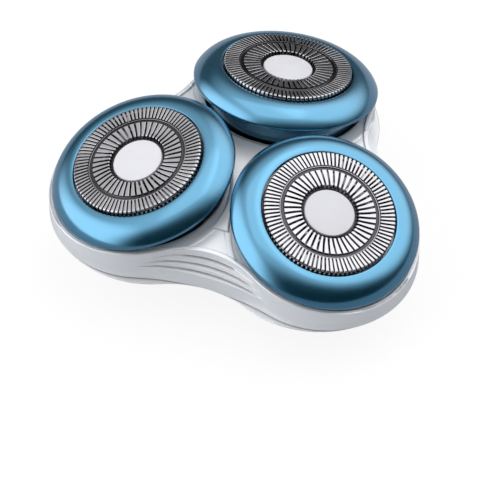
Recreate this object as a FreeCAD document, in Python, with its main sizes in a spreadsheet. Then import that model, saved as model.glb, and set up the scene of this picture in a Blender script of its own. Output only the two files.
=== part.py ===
"""Rotary shaver head: three slotted shaving heads that lean outwards on a trefoil holder.

The holder pulls off a base that carries the gears. A central gear, turned by the handle's
shaft, drives three smaller ones. Each carries a sprung spindle whose rounded six-sided tip
turns the cutter under one slotted cap. Lengths are millimetres, +Z points away from the
handle, and the origin is the middle of the lower end of the coupling spigot.
"""
import FreeCAD, Part
import math
import os
import re
import Sketcher
from FreeCAD import Vector

HEADS = (1, 2, 3)
HEAD_STEP = 120

SIZES = [
    ("first_head", -30, "direction of the first head, degrees from +X"),
    ("head_lean", 17.0, "outward lean of a head's axis, degrees"),
    ("head_height", 22.6, "height of the middle of a cap's top"),
    ("pivot_depth", 3.0, "tilt axis below the cap's top, along the head's axis"),
    ("tip_depth", 4.0, "middle of the spindle's tip below the cap's top"),
    ("ring_apart", 0.695, "half the gap between two skin rings, level with the tilt axes"),

    ("cap_radius", 11.75, "outside of a shaving cap"),
    ("cap_height", 3.25, "cap's top to the underside of its flange"),
    ("cap_wall", 0.35, "sheet thickness of a cap"),
    ("flange_width", 0.85, "width of a cap's flange"),
    ("flange_fit", 0.1, "clearance over that flange"),
    ("recess_radius", 4.75, "recess for the disc in a cap"),
    ("recess_depth", 1.0, "depth of that recess"),
    ("recess_slope", 0.4, "run of the recess's sloping side"),
    ("inner_track_drop", 0.05, "inner track below the outer track"),
    ("valley_inner", 8.4, "inner edge of the valley between the tracks"),
    ("valley_outer", 8.85, "outer edge of that valley"),
    ("valley_depth", 0.4, "depth of that valley"),
    ("valley_slope", 0.15, "run of the valley's sloping sides"),
    ("outer_slots", 90, "slots in a cap's outer track, two for each inner one"),
    ("outer_slot_width", 0.28, "width of an outer slot"),
    ("outer_slot_drop", 1.1, "how far an outer slot runs down the side"),
    ("inner_slot_width", 0.34, "width of an inner slot"),
    ("inner_slot_depth", 0.6, "cutting depth of an inner slot"),
    ("slot_lean", 1.4, "angle an outer slot turns through on its way out, degrees"),
    ("slot_land", 0.2, "uncut land at the ends of the slots"),
    ("disc_fit", 0.15, "gap round the plain disc in a cap's recess"),
    ("disc_height", 0.7, "thickness of that disc"),
    ("disc_bevel", 0.15, "bevel of that disc's edge"),

    ("ring_gap", 0.3, "gap between a cap and its skin ring"),
    ("ring_crown_drop", 0.85, "skin ring's inner edge below the cap's top"),
    ("ring_edge", 0.25, "bevel at the skin ring's inner edge"),
    ("ring_crown_radius", 4.6, "curve of the skin ring's crown, seen in section"),
    ("ring_rim_drop", 3.3, "top of the skin ring's rim below the cap's top"),
    ("ring_rim_height", 0.65, "height of that rim"),
    ("ring_rim_bevel", 0.3, "bevel under that rim"),
    ("seam_depth", 4.2, "seam of ring and bowl below the cap's top"),
    ("ring_overhang", 1.5, "skin ring's reach beyond the bowl's lip"),
    ("skirt_wall", 0.45, "wall of the skin ring's skirt outside the tabs' track"),
    ("skirt_end", 5.2, "end of that skirt below the cap's top"),

    ("bowl_shoulder", 0.95, "bowl's outside beyond that skirt, a ball about the tilt axis"),
    ("bowl_wall", 1.0, "wall of a bowl"),
    ("bowl_lip_width", 0.6, "bowl's lip beyond that ball"),
    ("bowl_lip_height", 0.3, "height of that lip"),
    ("bowl_neck_depth", 5.1, "where the ball starts, below the cap's top"),
    ("bowl_curve_end", 8.4, "where the ball ends, below the cap's top"),
    ("bowl_depth", 9.8, "underside of a bowl's floor below the cap's top"),
    ("bowl_floor", 0.8, "thickness of a bowl's floor"),
    ("bowl_floor_inset", 3.0, "flat part of a bowl's underside inside that ball"),
    ("spindle_hole", 3.4, "hole in a bowl's floor"),
    ("spindle_hole_shift", 1.35, "that hole's middle, outwards from the head's axis"),
    ("foot_radius", 8.2, "running face of a bowl's foot, from the tilt axis"),
    ("foot_height", 2.0, "height of a foot"),
    ("foot_half_angle", 22, "half of the angle that a foot spans, degrees"),
    ("foot_offset", 6.9, "inner side of a foot from the head's middle plane"),
    ("foot_width", 2.0, "width of a foot"),

    ("blades", 15, "blades in each ring of a cutter"),
    ("blade_thickness", 0.45, "thickness of a blade"),
    ("blade_lean", 25, "lean of a blade, degrees"),
    ("blade_gap", 0.25, "gap between blade and cap"),
    ("blade_side_gap", 0.4, "gap between the ends of a blade and the cap"),
    ("cutter_disc_depth", 3.4, "underside of a cutter's disc below the cap's top"),
    ("cutter_disc_height", 0.5, "thickness of that disc"),
    ("hub_radius", 3.1, "cutter hub where the disc sits"),
    ("hub_top", 1.6, "top of a cutter hub below the cap's top"),
    ("hub_flange", 4.2, "flange under the cutter's disc"),
    ("hub_flange_height", 0.5, "thickness of that flange"),
    ("hub_barrel", 3.4, "lower part of a cutter hub"),
    ("hub_end", 5.6, "end of a cutter hub below the cap's top"),
    ("hub_fit", 0.05, "clearance of the disc on the hub"),
    ("socket_top", 2.1, "top of a hub's six-sided socket below the cap's top"),
    ("tip_width", 3.4, "spindle tip across its flats"),
    ("tip_play", 0.6, "play between tip and socket, each side"),

    ("retainer_fit", 0.2, "gap between retaining ring and skirt"),
    ("retainer_rim", 1.2, "width of a retaining ring's rim"),
    ("retainer_seat", 0.15, "its top below the cap's flange"),
    ("retainer_height", 1.4, "height of that rim"),
    ("retainer_eye", 3.9, "hole in its middle"),
    ("retainer_eye_rim", 5.4, "outside of the rim of that hole"),
    ("retainer_arm_height", 0.5, "thickness of its arms"),
    ("retainer_arm_width", 1.6, "width of its arms"),
    ("tab_reach", 0.45, "reach of its tabs into the wall of the skirt"),
    ("tab_drop", 0.6, "top of a tab below the top of the rim"),
    ("tab_height", 0.5, "thickness of a tab"),
    ("tab_angle", 16, "angle that a tab spans, degrees"),
    ("tab_clearance", 0.15, "clearance round a tab"),
    ("turn_range", 20, "turn that frees a retaining ring, degrees"),
    ("grip_height", 0.8, "height of the finger grips on a retaining ring"),
    ("grip_angle", 14, "angle that a grip spans, degrees"),

    ("lobe_shift", 0.3, "middle of a lobe of the holder outwards from the outer gear"),
    ("lobe_inset", 0.3, "how much smaller a lobe's radius is than a skin ring's"),
    ("waist_top", 17, "waist curve of the holder's upper wall"),
    ("waist_upper", 22, "waist curve of its upper ledge"),
    ("waist_middle", 30, "waist curve of its middle ledge"),
    ("waist_lower", 42, "waist curve of its lower wall"),
    ("groove_cut", 5, "how much tighter a groove's waist curve is"),
    ("groove_height", 0.3, "height of a groove"),
    ("lower_ledge", 12.8, "height of the lower ledge"),
    ("middle_ledge", 13.9, "height of the middle ledge"),
    ("upper_ledge", 15.1, "height of the upper ledge"),
    ("deck_crown", 18.35, "height of the deck in the middle"),
    ("deck_curve", 142, "radius of the deck's dome"),
    ("lip_height", 0.35, "lip round the deck, above it"),
    ("lip_width", 0.8, "width of that lip"),
    ("deck_thickness", 1.3, "thickness of the deck"),
    ("holder_wall", 1.3, "outer wall of the holder"),
    ("well_gap", 0.5, "gap between bowl and holder"),
    ("cup_wall", 2.8, "wall of the holder's cup round a bowl"),
    ("mouth_gap", 0.2, "gap between a skin ring and a well's mouth"),
    ("well_mouth_depth", 6.9, "lower edge of that mouth below the cap's top"),
    ("well_flare_depth", 8.9, "lower end of a well's flare below the cap's top"),
    ("well_flare_curve", 4.5, "curve of that flare, seen in section"),
    ("cradle_gap", 0.15, "gap between foot and cradle"),
    ("cradle_inner", 5.4, "cradle's reach towards the axis from the tilt axis"),
    ("cradle_outer", 2.2, "cradle's reach outwards from the tilt axis"),
    ("cradle_height", 3.4, "height of a cradle above the holder's edge"),
    ("cradle_bar", 1.2, "height of the bar that ties a cradle to the cup"),
    ("plate_reach", 16.7, "edges of the middle plate from the axis"),
    ("plate_well_gap", 0.25, "middle plate's edge behind a well's mouth"),

    ("base_shift", 1.6, "middle of a lobe of the base inwards from the outer gear"),
    ("base_growth", 1.6, "how much larger a lobe's radius is on the base"),
    ("base_waist", 19, "waist curve of the base"),
    ("shoulder_drop", 1.5, "height of the base's shoulder below its edge"),
    ("shoulder_inset", 2.0, "inset of the base's shoulder"),
    ("bottom_inset", 6.3, "inset of the base's underside"),
    ("parting_gap", 0.2, "gap between holder and base"),
    ("spigot_length", 5.0, "length of the coupling spigot"),
    ("spigot_radius", 11.0, "outside of the spigot"),
    ("spigot_wall", 1.4, "wall of the spigot"),
    ("spigot_key_width", 3.0, "width of the key slots in the spigot"),
    ("spigot_key_depth", 2.0, "depth of those slots"),
    ("base_floor", 0.9, "floor under the gears"),
    ("cover_height", 1.1, "thickness of the gear cover"),
    ("cover_inset", 3.6, "gear cover's seat inside the base's edge"),
    ("cover_fit", 0.1, "clearance of the gear cover in its seat"),
    ("post_radius", 2.1, "guide post in the middle of the gear cover"),
    ("post_height", 5.5, "height of that post"),
    ("post_fit", 0.1, "running clearance of the holder on that post"),
    ("sleeve_wall", 1.1, "wall of the holder's sleeve on that post"),

    ("sun_teeth", 24, "teeth of the central gear"),
    ("pinion_teeth", 15, "teeth of each outer gear"),
    ("pressure_angle", 20, "pressure angle of the gears, degrees"),
    ("backlash", 0.16, "play between the teeth at the pitch circle"),
    ("gear_height", 1.9, "width of the gears"),
    ("gear_float", 0.2, "gap under the gears"),
    ("gear_headroom", 0.3, "gap above the gears"),
    ("chamber_gap", 0.6, "gap between tooth tips and the base"),
    ("sun_hub", 4.42, "radius of the central gear's hub"),
    ("sun_fit", 0.08, "running clearance of that hub in the base"),
    ("drive_width", 3.8, "shaft socket in the central gear, across its flats"),
    ("drive_depth", 3.2, "depth of that socket"),
    ("axle_radius", 1.0, "axle post of an outer gear"),
    ("axle_length", 3.1, "length of that post"),
    ("axle_fit", 0.05, "running clearance on that post"),
    ("pinion_web", 0.9, "thickness of an outer gear's web"),
    ("sleeve_radius", 3.6, "outside of an outer gear's sleeve"),
    ("sleeve_length", 3.2, "length of that sleeve above the teeth"),
    ("sleeve_clearance", 0.3, "clearance of that sleeve in the gear cover"),
    ("spindle_width", 4.5, "spindle's foot across its flats"),
    ("spindle_fit", 0.1, "sliding clearance of that foot in the sleeve"),
    ("spindle_foot", 1.9, "length of that foot"),
    ("spindle_travel", 1.2, "how far a spindle can be pressed in"),
    ("spindle_neck", 1.1, "radius of a spindle's neck"),
    ("spindle_bore", 1.2, "bore in a spindle's foot, over the axle post"),
    ("tip_length", 2.6, "length of a spindle's tip"),
    ("tip_end_width", 2.2, "tip across its flats at its ends"),
    ("spring_length", 2.6, "length of a fitted spring"),
    ("spring_radius", 1.72, "middle of a spring's wire"),
    ("spring_wire", 0.34, "side of a spring's square wire"),
    ("spring_turns", 2.75, "turns of a spring"),
]

doc = FreeCAD.newDocument("rotary_shaver_head")
sheet = doc.addObject("Spreadsheet::Sheet", "sizes")
pieces = []


def fill_sheet():
    """Write each size to the sheet as a plain number with its alias and meaning."""
    for row, (alias, number, meaning) in enumerate(SIZES, 1):
        sheet.set(f"A{row}", alias)
        sheet.set(f"B{row}", str(number))
        sheet.set(f"C{row}", meaning)
        sheet.setAlias(f"B{row}", alias)
    doc.recompute()


fill_sheet()
ALIAS = re.compile(r"\b(" + "|".join(alias for alias, _, _ in SIZES) + r")\b")


def bound(text):
    """An expression on the sheet's aliases, in the form that the document reads."""
    return ALIAS.sub(r"sizes.\1", str(text))


def value(text):
    """The number that an expression on the sheet gives now."""
    return float(sheet.evalExpression(bound(text)))


# Places that several pieces share, worked out from the sizes.
FLANGE = "(cap_radius + flange_width)"
SKIRT_BORE = f"({FLANGE} + ring_gap)"
TAB_RADIUS = f"({SKIRT_BORE} + tab_reach)"
SKIRT_RADIUS = f"({TAB_RADIUS} + tab_clearance + skirt_wall)"
BOWL_BALL = f"({SKIRT_RADIUS} + bowl_shoulder)"
BOWL_LIP = f"({BOWL_BALL} + bowl_lip_width)"
BOWL_FLOOR_RADIUS = f"({BOWL_BALL} - bowl_floor_inset)"
RING_RADIUS = f"({BOWL_LIP} + ring_overhang)"
RING_SHELF = "(cap_height - cap_wall - flange_fit)"
RETAINER_RADIUS = f"({SKIRT_BORE} - retainer_fit)"
RETAINER_BORE = f"({RETAINER_RADIUS} - retainer_rim)"
RETAINER_TOP = "(cap_height + retainer_seat)"
RETAINER_END = f"({RETAINER_TOP} + retainer_height)"
TAB_TOP = f"({RETAINER_TOP} + tab_drop)"
OUTER_BLADE_END = "(cap_radius - cap_wall - blade_side_gap)"
OUTER_BLADE_START = "(valley_outer + cap_wall / 2 + blade_side_gap)"
INNER_BLADE_END = "(valley_inner - cap_wall - blade_side_gap)"
INNER_BLADE_START = "(recess_radius + recess_slope + blade_side_gap)"
RING_REACH = f"({RING_RADIUS} * sqrt(1 - 0.75 * sin(head_lean) ^ 2))"
PIVOT_ORBIT = f"(({RING_REACH} + ring_apart) / cos(30))"
HEAD_ORBIT = f"({PIVOT_ORBIT} + pivot_depth * sin(head_lean))"
SPINDLE_ORBIT = f"({HEAD_ORBIT} - tip_depth * sin(head_lean))"
GEAR_MODULE = f"(2 * {SPINDLE_ORBIT} / (sun_teeth + pinion_teeth))"
LOBE_ORBIT = f"({SPINDLE_ORBIT} + lobe_shift)"
LOBE_RADIUS = f"({RING_RADIUS} - lobe_inset)"
BASE_ORBIT = f"({SPINDLE_ORBIT} - base_shift)"
BASE_LOBE = f"({LOBE_RADIUS} + base_growth)"
PIVOT_HEIGHT = "(head_height - pivot_depth * cos(head_lean))"
TIP_HEIGHT = "(head_height - tip_depth * cos(head_lean))"
CHAMBER_FLOOR = "(spigot_length + base_floor)"
GEAR_BOTTOM = f"({CHAMBER_FLOOR} + gear_float)"
GEAR_TOP = f"({GEAR_BOTTOM} + gear_height)"
COVER_BOTTOM = f"({GEAR_TOP} + gear_headroom)"
BASE_TOP = f"({COVER_BOTTOM} + cover_height)"
HOLDER_BOTTOM = f"({BASE_TOP} + parting_gap)"
WEB_TOP = f"({GEAR_BOTTOM} + pinion_web)"
SPINDLE_BOTTOM = f"({WEB_TOP} + spring_length)"
SPINDLE_SHOULDER = f"({SPINDLE_BOTTOM} + spindle_foot)"
SLEEVE_TOP = f"({GEAR_TOP} + sleeve_length)"
LIP_CROWN = "(deck_crown + lip_height)"
PLAY_SOCKET = "(tip_width + 2 * tip_play)"


def azimuth(head):
    """Direction of a head's outward line."""
    return f"(first_head + {HEAD_STEP * (head - 1)})"


def head_frame(head):
    """Frame of a head: origin at the middle of the cap's top, Z along the leaning axis."""
    turn = azimuth(head)
    place = f"vector({HEAD_ORBIT} * cos({turn}); {HEAD_ORBIT} * sin({turn}); head_height)"
    return f"placement({place}; rotationz({turn}) * rotationy(head_lean))"


def gear_frame(head, height="0"):
    """Upright frame on the axis of an outer gear, X outwards."""
    turn = azimuth(head)
    place = f"vector({SPINDLE_ORBIT} * cos({turn}); {SPINDLE_ORBIT} * sin({turn}); {height})"
    return f"placement({place}; rotationz({turn}))"


def pivot_frame(head):
    """Upright frame at the middle of a head's tilt axis, X outwards and Y along the axis."""
    turn = azimuth(head)
    place = f"vector({PIVOT_ORBIT} * cos({turn}); {PIVOT_ORBIT} * sin({turn}); {PIVOT_HEIGHT})"
    return f"placement({place}; rotationz({turn}))"


def centre_frame():
    """Frame on the axis of the whole unit, X towards the first head."""
    return "placement(vector(0; 0; 0); rotationz(first_head))"


# Sketches, whose points, centres and radii are all bound to the sheet.

def new_sketch(owner, name, plane="XY_Plane", height="0", turn="0"):
    """A sketch on an origin plane of a body, or free in the document, shifted or turned."""
    if owner is None:
        sketch = doc.addObject("Sketcher::SketchObject", name)
        base = f"vector(0; 0; {height})" if plane == "XY_Plane" else "vector(0; 0; 0)"
        stand = "rotationz(0)" if plane == "XY_Plane" else "rotationx(90)"
        sketch.setExpression("Placement", bound(f"placement({base}; {stand})"))
        return sketch
    sketch = owner.newObject("Sketcher::SketchObject", name)
    support = next(item for item in owner.Origin.OriginFeatures if item.Role == plane)
    sketch.AttachmentSupport = [(support, "")]
    sketch.MapMode = "FlatFace"
    offset = f"placement(vector(0; 0; {height}); rotationy({turn}))"
    sketch.setExpression("AttachmentOffset", bound(offset))
    return sketch


def bind(sketch, constraint, text):
    """Add a dimension to a sketch and bind it to an expression."""
    index = sketch.addConstraint(constraint)
    sketch.setExpression(f"Constraints[{index}]", bound(text))


def bind_point(sketch, edge, end, x, y):
    """Hold one point of a sketch's edge at bound distances from the origin."""
    bind(sketch, Sketcher.Constraint("DistanceX", -1, 1, edge, end, value(x)), x)
    bind(sketch, Sketcher.Constraint("DistanceY", -1, 1, edge, end, value(y)), y)


def arc_between(start, end, radius):
    """Anticlockwise arc between two points, which bulges to the right of the way to the end."""
    chord = end - start
    middle = (start + end) * 0.5
    left = Vector(-chord.y, chord.x, 0).normalize()
    centre = middle + left * math.sqrt(radius ** 2 - (chord.Length / 2) ** 2)
    first = math.atan2(start.y - centre.y, start.x - centre.x)
    last = math.atan2(end.y - centre.y, end.x - centre.x)
    if last < first:
        last += 2 * math.pi
    return Part.ArcOfCircle(Part.Circle(centre, Vector(0, 0, 1), radius), first, last)


def add_profile(sketch, path):
    """A closed outline. A corner is (x, y), or (x, y, radius) where an arc leaves it.

    A positive radius bulges to the right of the way round, a negative one to the left.
    """
    corners = [Vector(value(corner[0]), value(corner[1]), 0) for corner in path]
    ends = []
    for index, corner in enumerate(path):
        start = corners[index]
        end = corners[(index + 1) % len(path)]
        if len(corner) == 2:
            edge = sketch.addGeometry(Part.LineSegment(start, end), False)
            ends.append((edge, 1, 2))
            continue
        radius = value(corner[2])
        if radius > 0:
            arc, order = arc_between(start, end, radius), (1, 2)
        else:
            arc, order = arc_between(end, start, -radius), (2, 1)
        edge = sketch.addGeometry(arc, False)
        ends.append((edge,) + order)
        size = corner[2].lstrip("-")
        bind(sketch, Sketcher.Constraint("Radius", edge, abs(radius)), size)
    for index, (edge, first, last) in enumerate(ends):
        after, after_first, _ = ends[(index + 1) % len(ends)]
        sketch.addConstraint(Sketcher.Constraint("Coincident", edge, last, after, after_first))
        bind_point(sketch, edge, first, path[index][0], path[index][1])


def add_circle(sketch, radius, x="0", y="0"):
    """A circle whose centre and radius are bound."""
    circle = Part.Circle(Vector(value(x), value(y), 0), Vector(0, 0, 1), value(radius))
    edge = sketch.addGeometry(circle, False)
    bind_point(sketch, edge, 3, x, y)
    bind(sketch, Sketcher.Constraint("Radius", edge, value(radius)), radius)


def add_polygon(sketch, sides, width):
    """A regular polygon about the origin, of a given width across its flats."""
    corner = f"({width} / 2 / cos({180 / sides}))"
    turns = [360 * side / sides for side in range(sides)]
    add_profile(sketch, [(f"{corner} * cos({turn})", f"{corner} * sin({turn})") for turn in turns])


def add_box(sketch, x_low, x_high, y_low, y_high):
    """A rectangle between bound sides."""
    add_profile(sketch, [(x_low, y_low), (x_high, y_low), (x_high, y_high), (x_low, y_high)])


def add_trefoil(sketch, orbit, lobe, waist):
    """Three lobe arcs joined by three hollow waist arcs that they run into smoothly."""
    reach = value(f"{orbit} / 2 + sqrt(({lobe} + {waist}) ^ 2 - 0.75 * {orbit} ^ 2)")
    lobes, waists = [], []
    spread = math.atan2(reach * math.sin(math.pi / 3), reach * 0.5 - value(orbit))
    for head in HEADS:
        out = math.radians(value(azimuth(head)))
        side = out + math.pi / 3
        centre = Vector(math.cos(out), math.sin(out), 0) * value(orbit)
        hollow = Vector(math.cos(side), math.sin(side), 0) * reach
        up = Vector(0, 0, 1)
        ring = Part.Circle(centre, up, value(lobe))
        lobes.append(sketch.addGeometry(Part.ArcOfCircle(ring, out - spread, out + spread), False))
        ring = Part.Circle(hollow, up, value(waist))
        half = spread - math.pi / 3
        facing = side + math.pi
        waists.append(sketch.addGeometry(Part.ArcOfCircle(ring, facing - half, facing + half), False))
        bind_point(sketch, lobes[-1], 3, f"{orbit} * cos({azimuth(head)})",
                   f"{orbit} * sin({azimuth(head)})")
        bind(sketch, Sketcher.Constraint("Radius", lobes[-1], value(lobe)), lobe)
        bind(sketch, Sketcher.Constraint("Radius", waists[-1], value(waist)), waist)
    for index in range(3):
        following = lobes[(index + 1) % 3]
        sketch.addConstraint(Sketcher.Constraint("Tangent", lobes[index], 2, waists[index], 2))
        sketch.addConstraint(Sketcher.Constraint("Tangent", waists[index], 1, following, 1))


# Bodies and their features.

def new_body(name, frame=None):
    """A body that is one piece of the model, placed by a bound frame."""
    body = doc.addObject("PartDesign::Body", name)
    body.Label = name
    if frame:
        body.setExpression("Placement", bound(frame))
    pieces.append(body)
    return body


def feature(body, kind, name, sketch, **settings):
    """A PartDesign feature on a sketch. Text settings are bound, others are set as they are."""
    made = body.newObject(f"PartDesign::{kind}", name)
    made.Profile = sketch
    for key, setting in settings.items():
        if isinstance(setting, str) and key != "Type":
            made.setExpression(key, bound(setting))
        else:
            setattr(made, key, setting)
    body.Tip = made
    sketch.Visibility = False
    return made


def revolve(body, name, path, turn="0", angle="360"):
    """Turn a section about the body's Z axis, all round or over an angle about its plane."""
    sketch = new_sketch(body, f"{name}_section", "XZ_Plane", turn=turn)
    add_profile(sketch, path)
    return feature(body, "Revolution", name, sketch, ReferenceAxis=(sketch, ["V_Axis"]),
                   Angle=angle, Midplane=angle != "360")


def groove(body, name, path, turn="0", angle="360"):
    """Cut a section turned about the body's Z axis over an angle about its plane."""
    sketch = new_sketch(body, f"{name}_section", "XZ_Plane", turn=turn)
    add_profile(sketch, path)
    return feature(body, "Groove", name, sketch, ReferenceAxis=(sketch, ["V_Axis"]),
                   Angle=angle, Midplane=angle != "360")


def pattern(body, name, originals, count):
    """Repeat features evenly about the body's Z axis."""
    made = body.newObject("PartDesign::PolarPattern", name)
    made.Originals = originals
    axis = next(item for item in body.Origin.OriginFeatures if item.Role == "Z_Axis")
    made.Axis = (axis, [""])
    made.Angle = 360
    made.setExpression("Occurrences", bound(count))
    body.Tip = made
    return made


# Solids made by combining simpler ones.

def combine(kind, name, shapes, place=None):
    """A Part boolean of several shapes: MultiFuse, MultiCommon or Compound."""
    made = doc.addObject(f"Part::{kind}", name)
    if kind == "Compound":
        made.Links = shapes
    else:
        made.Shapes = shapes
        made.Refine = True
    if place:
        made.setExpression("Placement", bound(place))
    return made


def cut(name, base, tool):
    """A Part cut of one shape by another."""
    made = doc.addObject("Part::Cut", name)
    made.Base = base
    made.Tool = tool
    made.Refine = True
    return made


def extrude(name, sketch, length):
    """A solid from a free sketch, straight up."""
    made = doc.addObject("Part::Extrusion", name)
    made.Base = sketch
    made.DirMode = "Custom"
    made.Dir = Vector(0, 0, 1)
    made.setExpression("LengthFwd", bound(length))
    made.Solid = True
    return made


def trefoil_prism(name, orbit, lobe, waist, low, high):
    """An upright trefoil between two heights."""
    sketch = new_sketch(None, f"{name}_outline", height=low)
    add_trefoil(sketch, orbit, lobe, waist)
    return extrude(name, sketch, f"{high} - ({low})")


def turned(name, path, place):
    """A solid of revolution from a section in its own X and Z, then placed."""
    sketch = new_sketch(None, f"{name}_section", "XZ_Plane")
    add_profile(sketch, path)
    made = doc.addObject("Part::Revolution", name)
    made.Source = sketch
    made.Axis = Vector(0, 0, 1)
    made.Solid = True
    if place:
        made.setExpression("Placement", bound(place))
    return made


def ball(name, radius, place):
    """A ball with a bound radius and place."""
    made = doc.addObject("Part::Sphere", name)
    made.setExpression("Radius", bound(radius))
    made.setExpression("Placement", bound(place))
    return made


def block(name, x_low, x_high, y_low, y_high, z_low, z_high):
    """An upright block between bound sides."""
    made = doc.addObject("Part::Box", name)
    made.setExpression("Length", bound(f"{x_high} - ({x_low})"))
    made.setExpression("Width", bound(f"{y_high} - ({y_low})"))
    made.setExpression("Height", bound(f"{z_high} - ({z_low})"))
    made.setExpression("Placement", bound(f"placement(vector({x_low}; {y_low}; {z_low}); rotationz(0))"))
    return made


def cylinder(name, radius, low, high):
    """An upright cylinder on the axis of the whole unit."""
    made = doc.addObject("Part::Cylinder", name)
    made.setExpression("Radius", bound(radius))
    made.setExpression("Height", bound(f"{high} - ({low})"))
    made.setExpression("Placement", bound(f"placement(vector(0; 0; {low}); rotationz(0))"))
    return made


def finished(name, made):
    """Name the last shape of a chain as a piece of the model."""
    made.Label = name
    pieces.append(made)
    return made


# The pieces of one head, each in the head's own frame with the cap's top at zero.

def shaving_cap(head):
    """Stamped cap with two slotted tracks, a valley between them and a flange."""
    body = new_body(f"shaving_cap_{head}", head_frame(head))
    half = "cap_wall / 2"
    inner_start = "(recess_radius + recess_slope)"
    inner_end = "(valley_inner - valley_slope)"
    outer_start = "(valley_outer + valley_slope)"
    wall = "(cap_radius - cap_wall)"
    revolve(body, "shell", [
        ("0", "-recess_depth"), ("recess_radius", "-recess_depth"),
        (inner_start, "-inner_track_drop"), (inner_end, "-inner_track_drop"),
        ("valley_inner", "-valley_depth"), ("valley_outer", "-valley_depth"),
        (outer_start, "0"), ("cap_radius", "0"), ("cap_radius", "cap_wall - cap_height"),
        (FLANGE, "cap_wall - cap_height"), (FLANGE, "-cap_height"),
        (wall, "-cap_height"), (wall, "-cap_wall"),
        (f"{outer_start} + {half}", "-cap_wall"),
        (f"valley_outer + {half}", "-valley_depth - cap_wall"),
        (f"valley_inner - {half}", "-valley_depth - cap_wall"),
        (f"{inner_end} - {half}", "-inner_track_drop - cap_wall"),
        (f"{inner_start} + {half}", "-inner_track_drop - cap_wall"),
        (f"recess_radius + {half}", "-recess_depth - cap_wall"),
        ("0", "-recess_depth - cap_wall")])
    outer = slot(body, "outer_slot", f"{outer_start} + slot_land", "cap_radius + slot_land",
                 "slot_lean", "outer_slot_width", "outer_slot_drop")
    pattern(body, "outer_slot_ring", [outer], "outer_slots")
    inner = slot(body, "inner_slot", f"{inner_start} + slot_land", f"{inner_end} - slot_land",
                 "2 * slot_lean", "inner_slot_width", "inner_slot_depth")
    pattern(body, "inner_slot_ring", [inner], "outer_slots / 2")


def slot(body, name, start, end, lean, width, depth):
    """One slot that leans as it runs outwards, cut down from the cap's top."""
    sketch = new_sketch(body, f"{name}_outline")
    far_x = f"({end}) * cos({lean})"
    far_y = f"({end}) * sin({lean})"
    add_profile(sketch, [(start, f"-{width} / 2"), (far_x, f"{far_y} - {width} / 2"),
                         (far_x, f"{far_y} + {width} / 2"), (start, f"{width} / 2")])
    return feature(body, "Pocket", name, sketch, Length=depth)


def cap_disc(head):
    """Plain disc that fills the cap's recess and stands a little below its tracks."""
    body = new_body(f"cap_disc_{head}", head_frame(head))
    top = "(disc_height - recess_depth)"
    edge = "(recess_radius - disc_fit)"
    revolve(body, "disc", [("0", "-recess_depth"), (edge, "-recess_depth"),
                           (edge, f"{top} - disc_bevel"),
                           (f"{edge} - disc_bevel", top), ("0", top)])


def skin_ring(head):
    """Domed ring round the cap, with a skirt that locates the bowl and holds the retainer."""
    body = new_body(f"skin_ring_{head}", head_frame(head))
    bore = "(cap_radius + ring_gap)"
    rim_end = "(ring_rim_drop + ring_rim_height)"
    revolve(body, "ring", [
        (bore, "-ring_crown_drop - ring_edge"),
        (bore, f"-{RING_SHELF}"), (SKIRT_BORE, f"-{RING_SHELF}"),
        (SKIRT_BORE, "-skirt_end"), (SKIRT_RADIUS, "-skirt_end"),
        (SKIRT_RADIUS, "-seam_depth"), (f"{RING_RADIUS} - ring_rim_bevel", "-seam_depth"),
        (RING_RADIUS, f"-{rim_end}"),
        (RING_RADIUS, "-ring_rim_drop", "ring_crown_radius"),
        (f"{bore} + ring_edge", "-ring_crown_drop")])
    track_start = f"({SKIRT_BORE} - tab_clearance)"
    track_end = f"({TAB_RADIUS} + tab_clearance)"
    track_top = f"(tab_clearance - {TAB_TOP})"
    track_low = f"({TAB_TOP} + tab_height + tab_clearance)"
    wide = "(tab_angle + 3)"
    track = groove(body, "track", [(track_start, f"-{track_low}"), (track_end, f"-{track_low}"),
                                   (track_end, track_top), (track_start, track_top)],
                   turn="turn_range / 2", angle=f"{wide} + turn_range")
    entry = groove(body, "entry", [(track_start, "-skirt_end - tab_clearance"),
                                   (track_end, "-skirt_end - tab_clearance"),
                                   (track_end, track_top), (track_start, track_top)],
                   turn="turn_range", angle=wide)
    pattern(body, "bayonet", [track, entry], "3")


def head_bowl(head):
    """Hair chamber: a cup with a ball-shaped outside, a spindle hole and two running feet."""
    body = new_body(f"head_bowl_{head}", head_frame(head))
    inside = f"({BOWL_BALL} - bowl_wall)"
    mouth = f"({SKIRT_RADIUS} + cover_fit)"
    mouth_end = "(skirt_end + cover_fit)"
    floor = "(bowl_depth - bowl_floor)"
    curve_end = "(bowl_curve_end - bowl_wall / 3)"

    def on_ball(radius, depth):
        return f"sqrt({radius} ^ 2 - ({depth} - pivot_depth) ^ 2)"

    revolve(body, "cup", [
        (mouth, "-seam_depth"), (mouth, f"-{mouth_end}"),
        (on_ball(inside, mouth_end), f"-{mouth_end}", f"-{inside}"),
        (on_ball(inside, curve_end), f"-{curve_end}"),
        (f"{BOWL_FLOOR_RADIUS} - bowl_wall / 2", f"-{floor}"), ("0", f"-{floor}"),
        ("0", "-bowl_depth"), (BOWL_FLOOR_RADIUS, "-bowl_depth"),
        (on_ball(BOWL_BALL, "bowl_curve_end"), "-bowl_curve_end", BOWL_BALL),
        (on_ball(BOWL_BALL, "bowl_neck_depth"), "-bowl_neck_depth"),
        (BOWL_LIP, "-seam_depth - bowl_lip_height"), (BOWL_LIP, "-seam_depth")])
    hole = new_sketch(body, "hole_outline", height=f"bowl_floor - {floor}")
    add_circle(hole, "spindle_hole", "spindle_hole_shift")
    feature(body, "Pocket", "spindle_way", hole, Length="3 * bowl_floor")
    for side, turn in (("left", 1), ("right", -1)):
        low = "foot_offset" if turn > 0 else "-foot_offset - foot_width"
        high = "foot_offset + foot_width" if turn > 0 else "-foot_offset"
        foot(body, f"{side}_foot", low, high)


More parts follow.
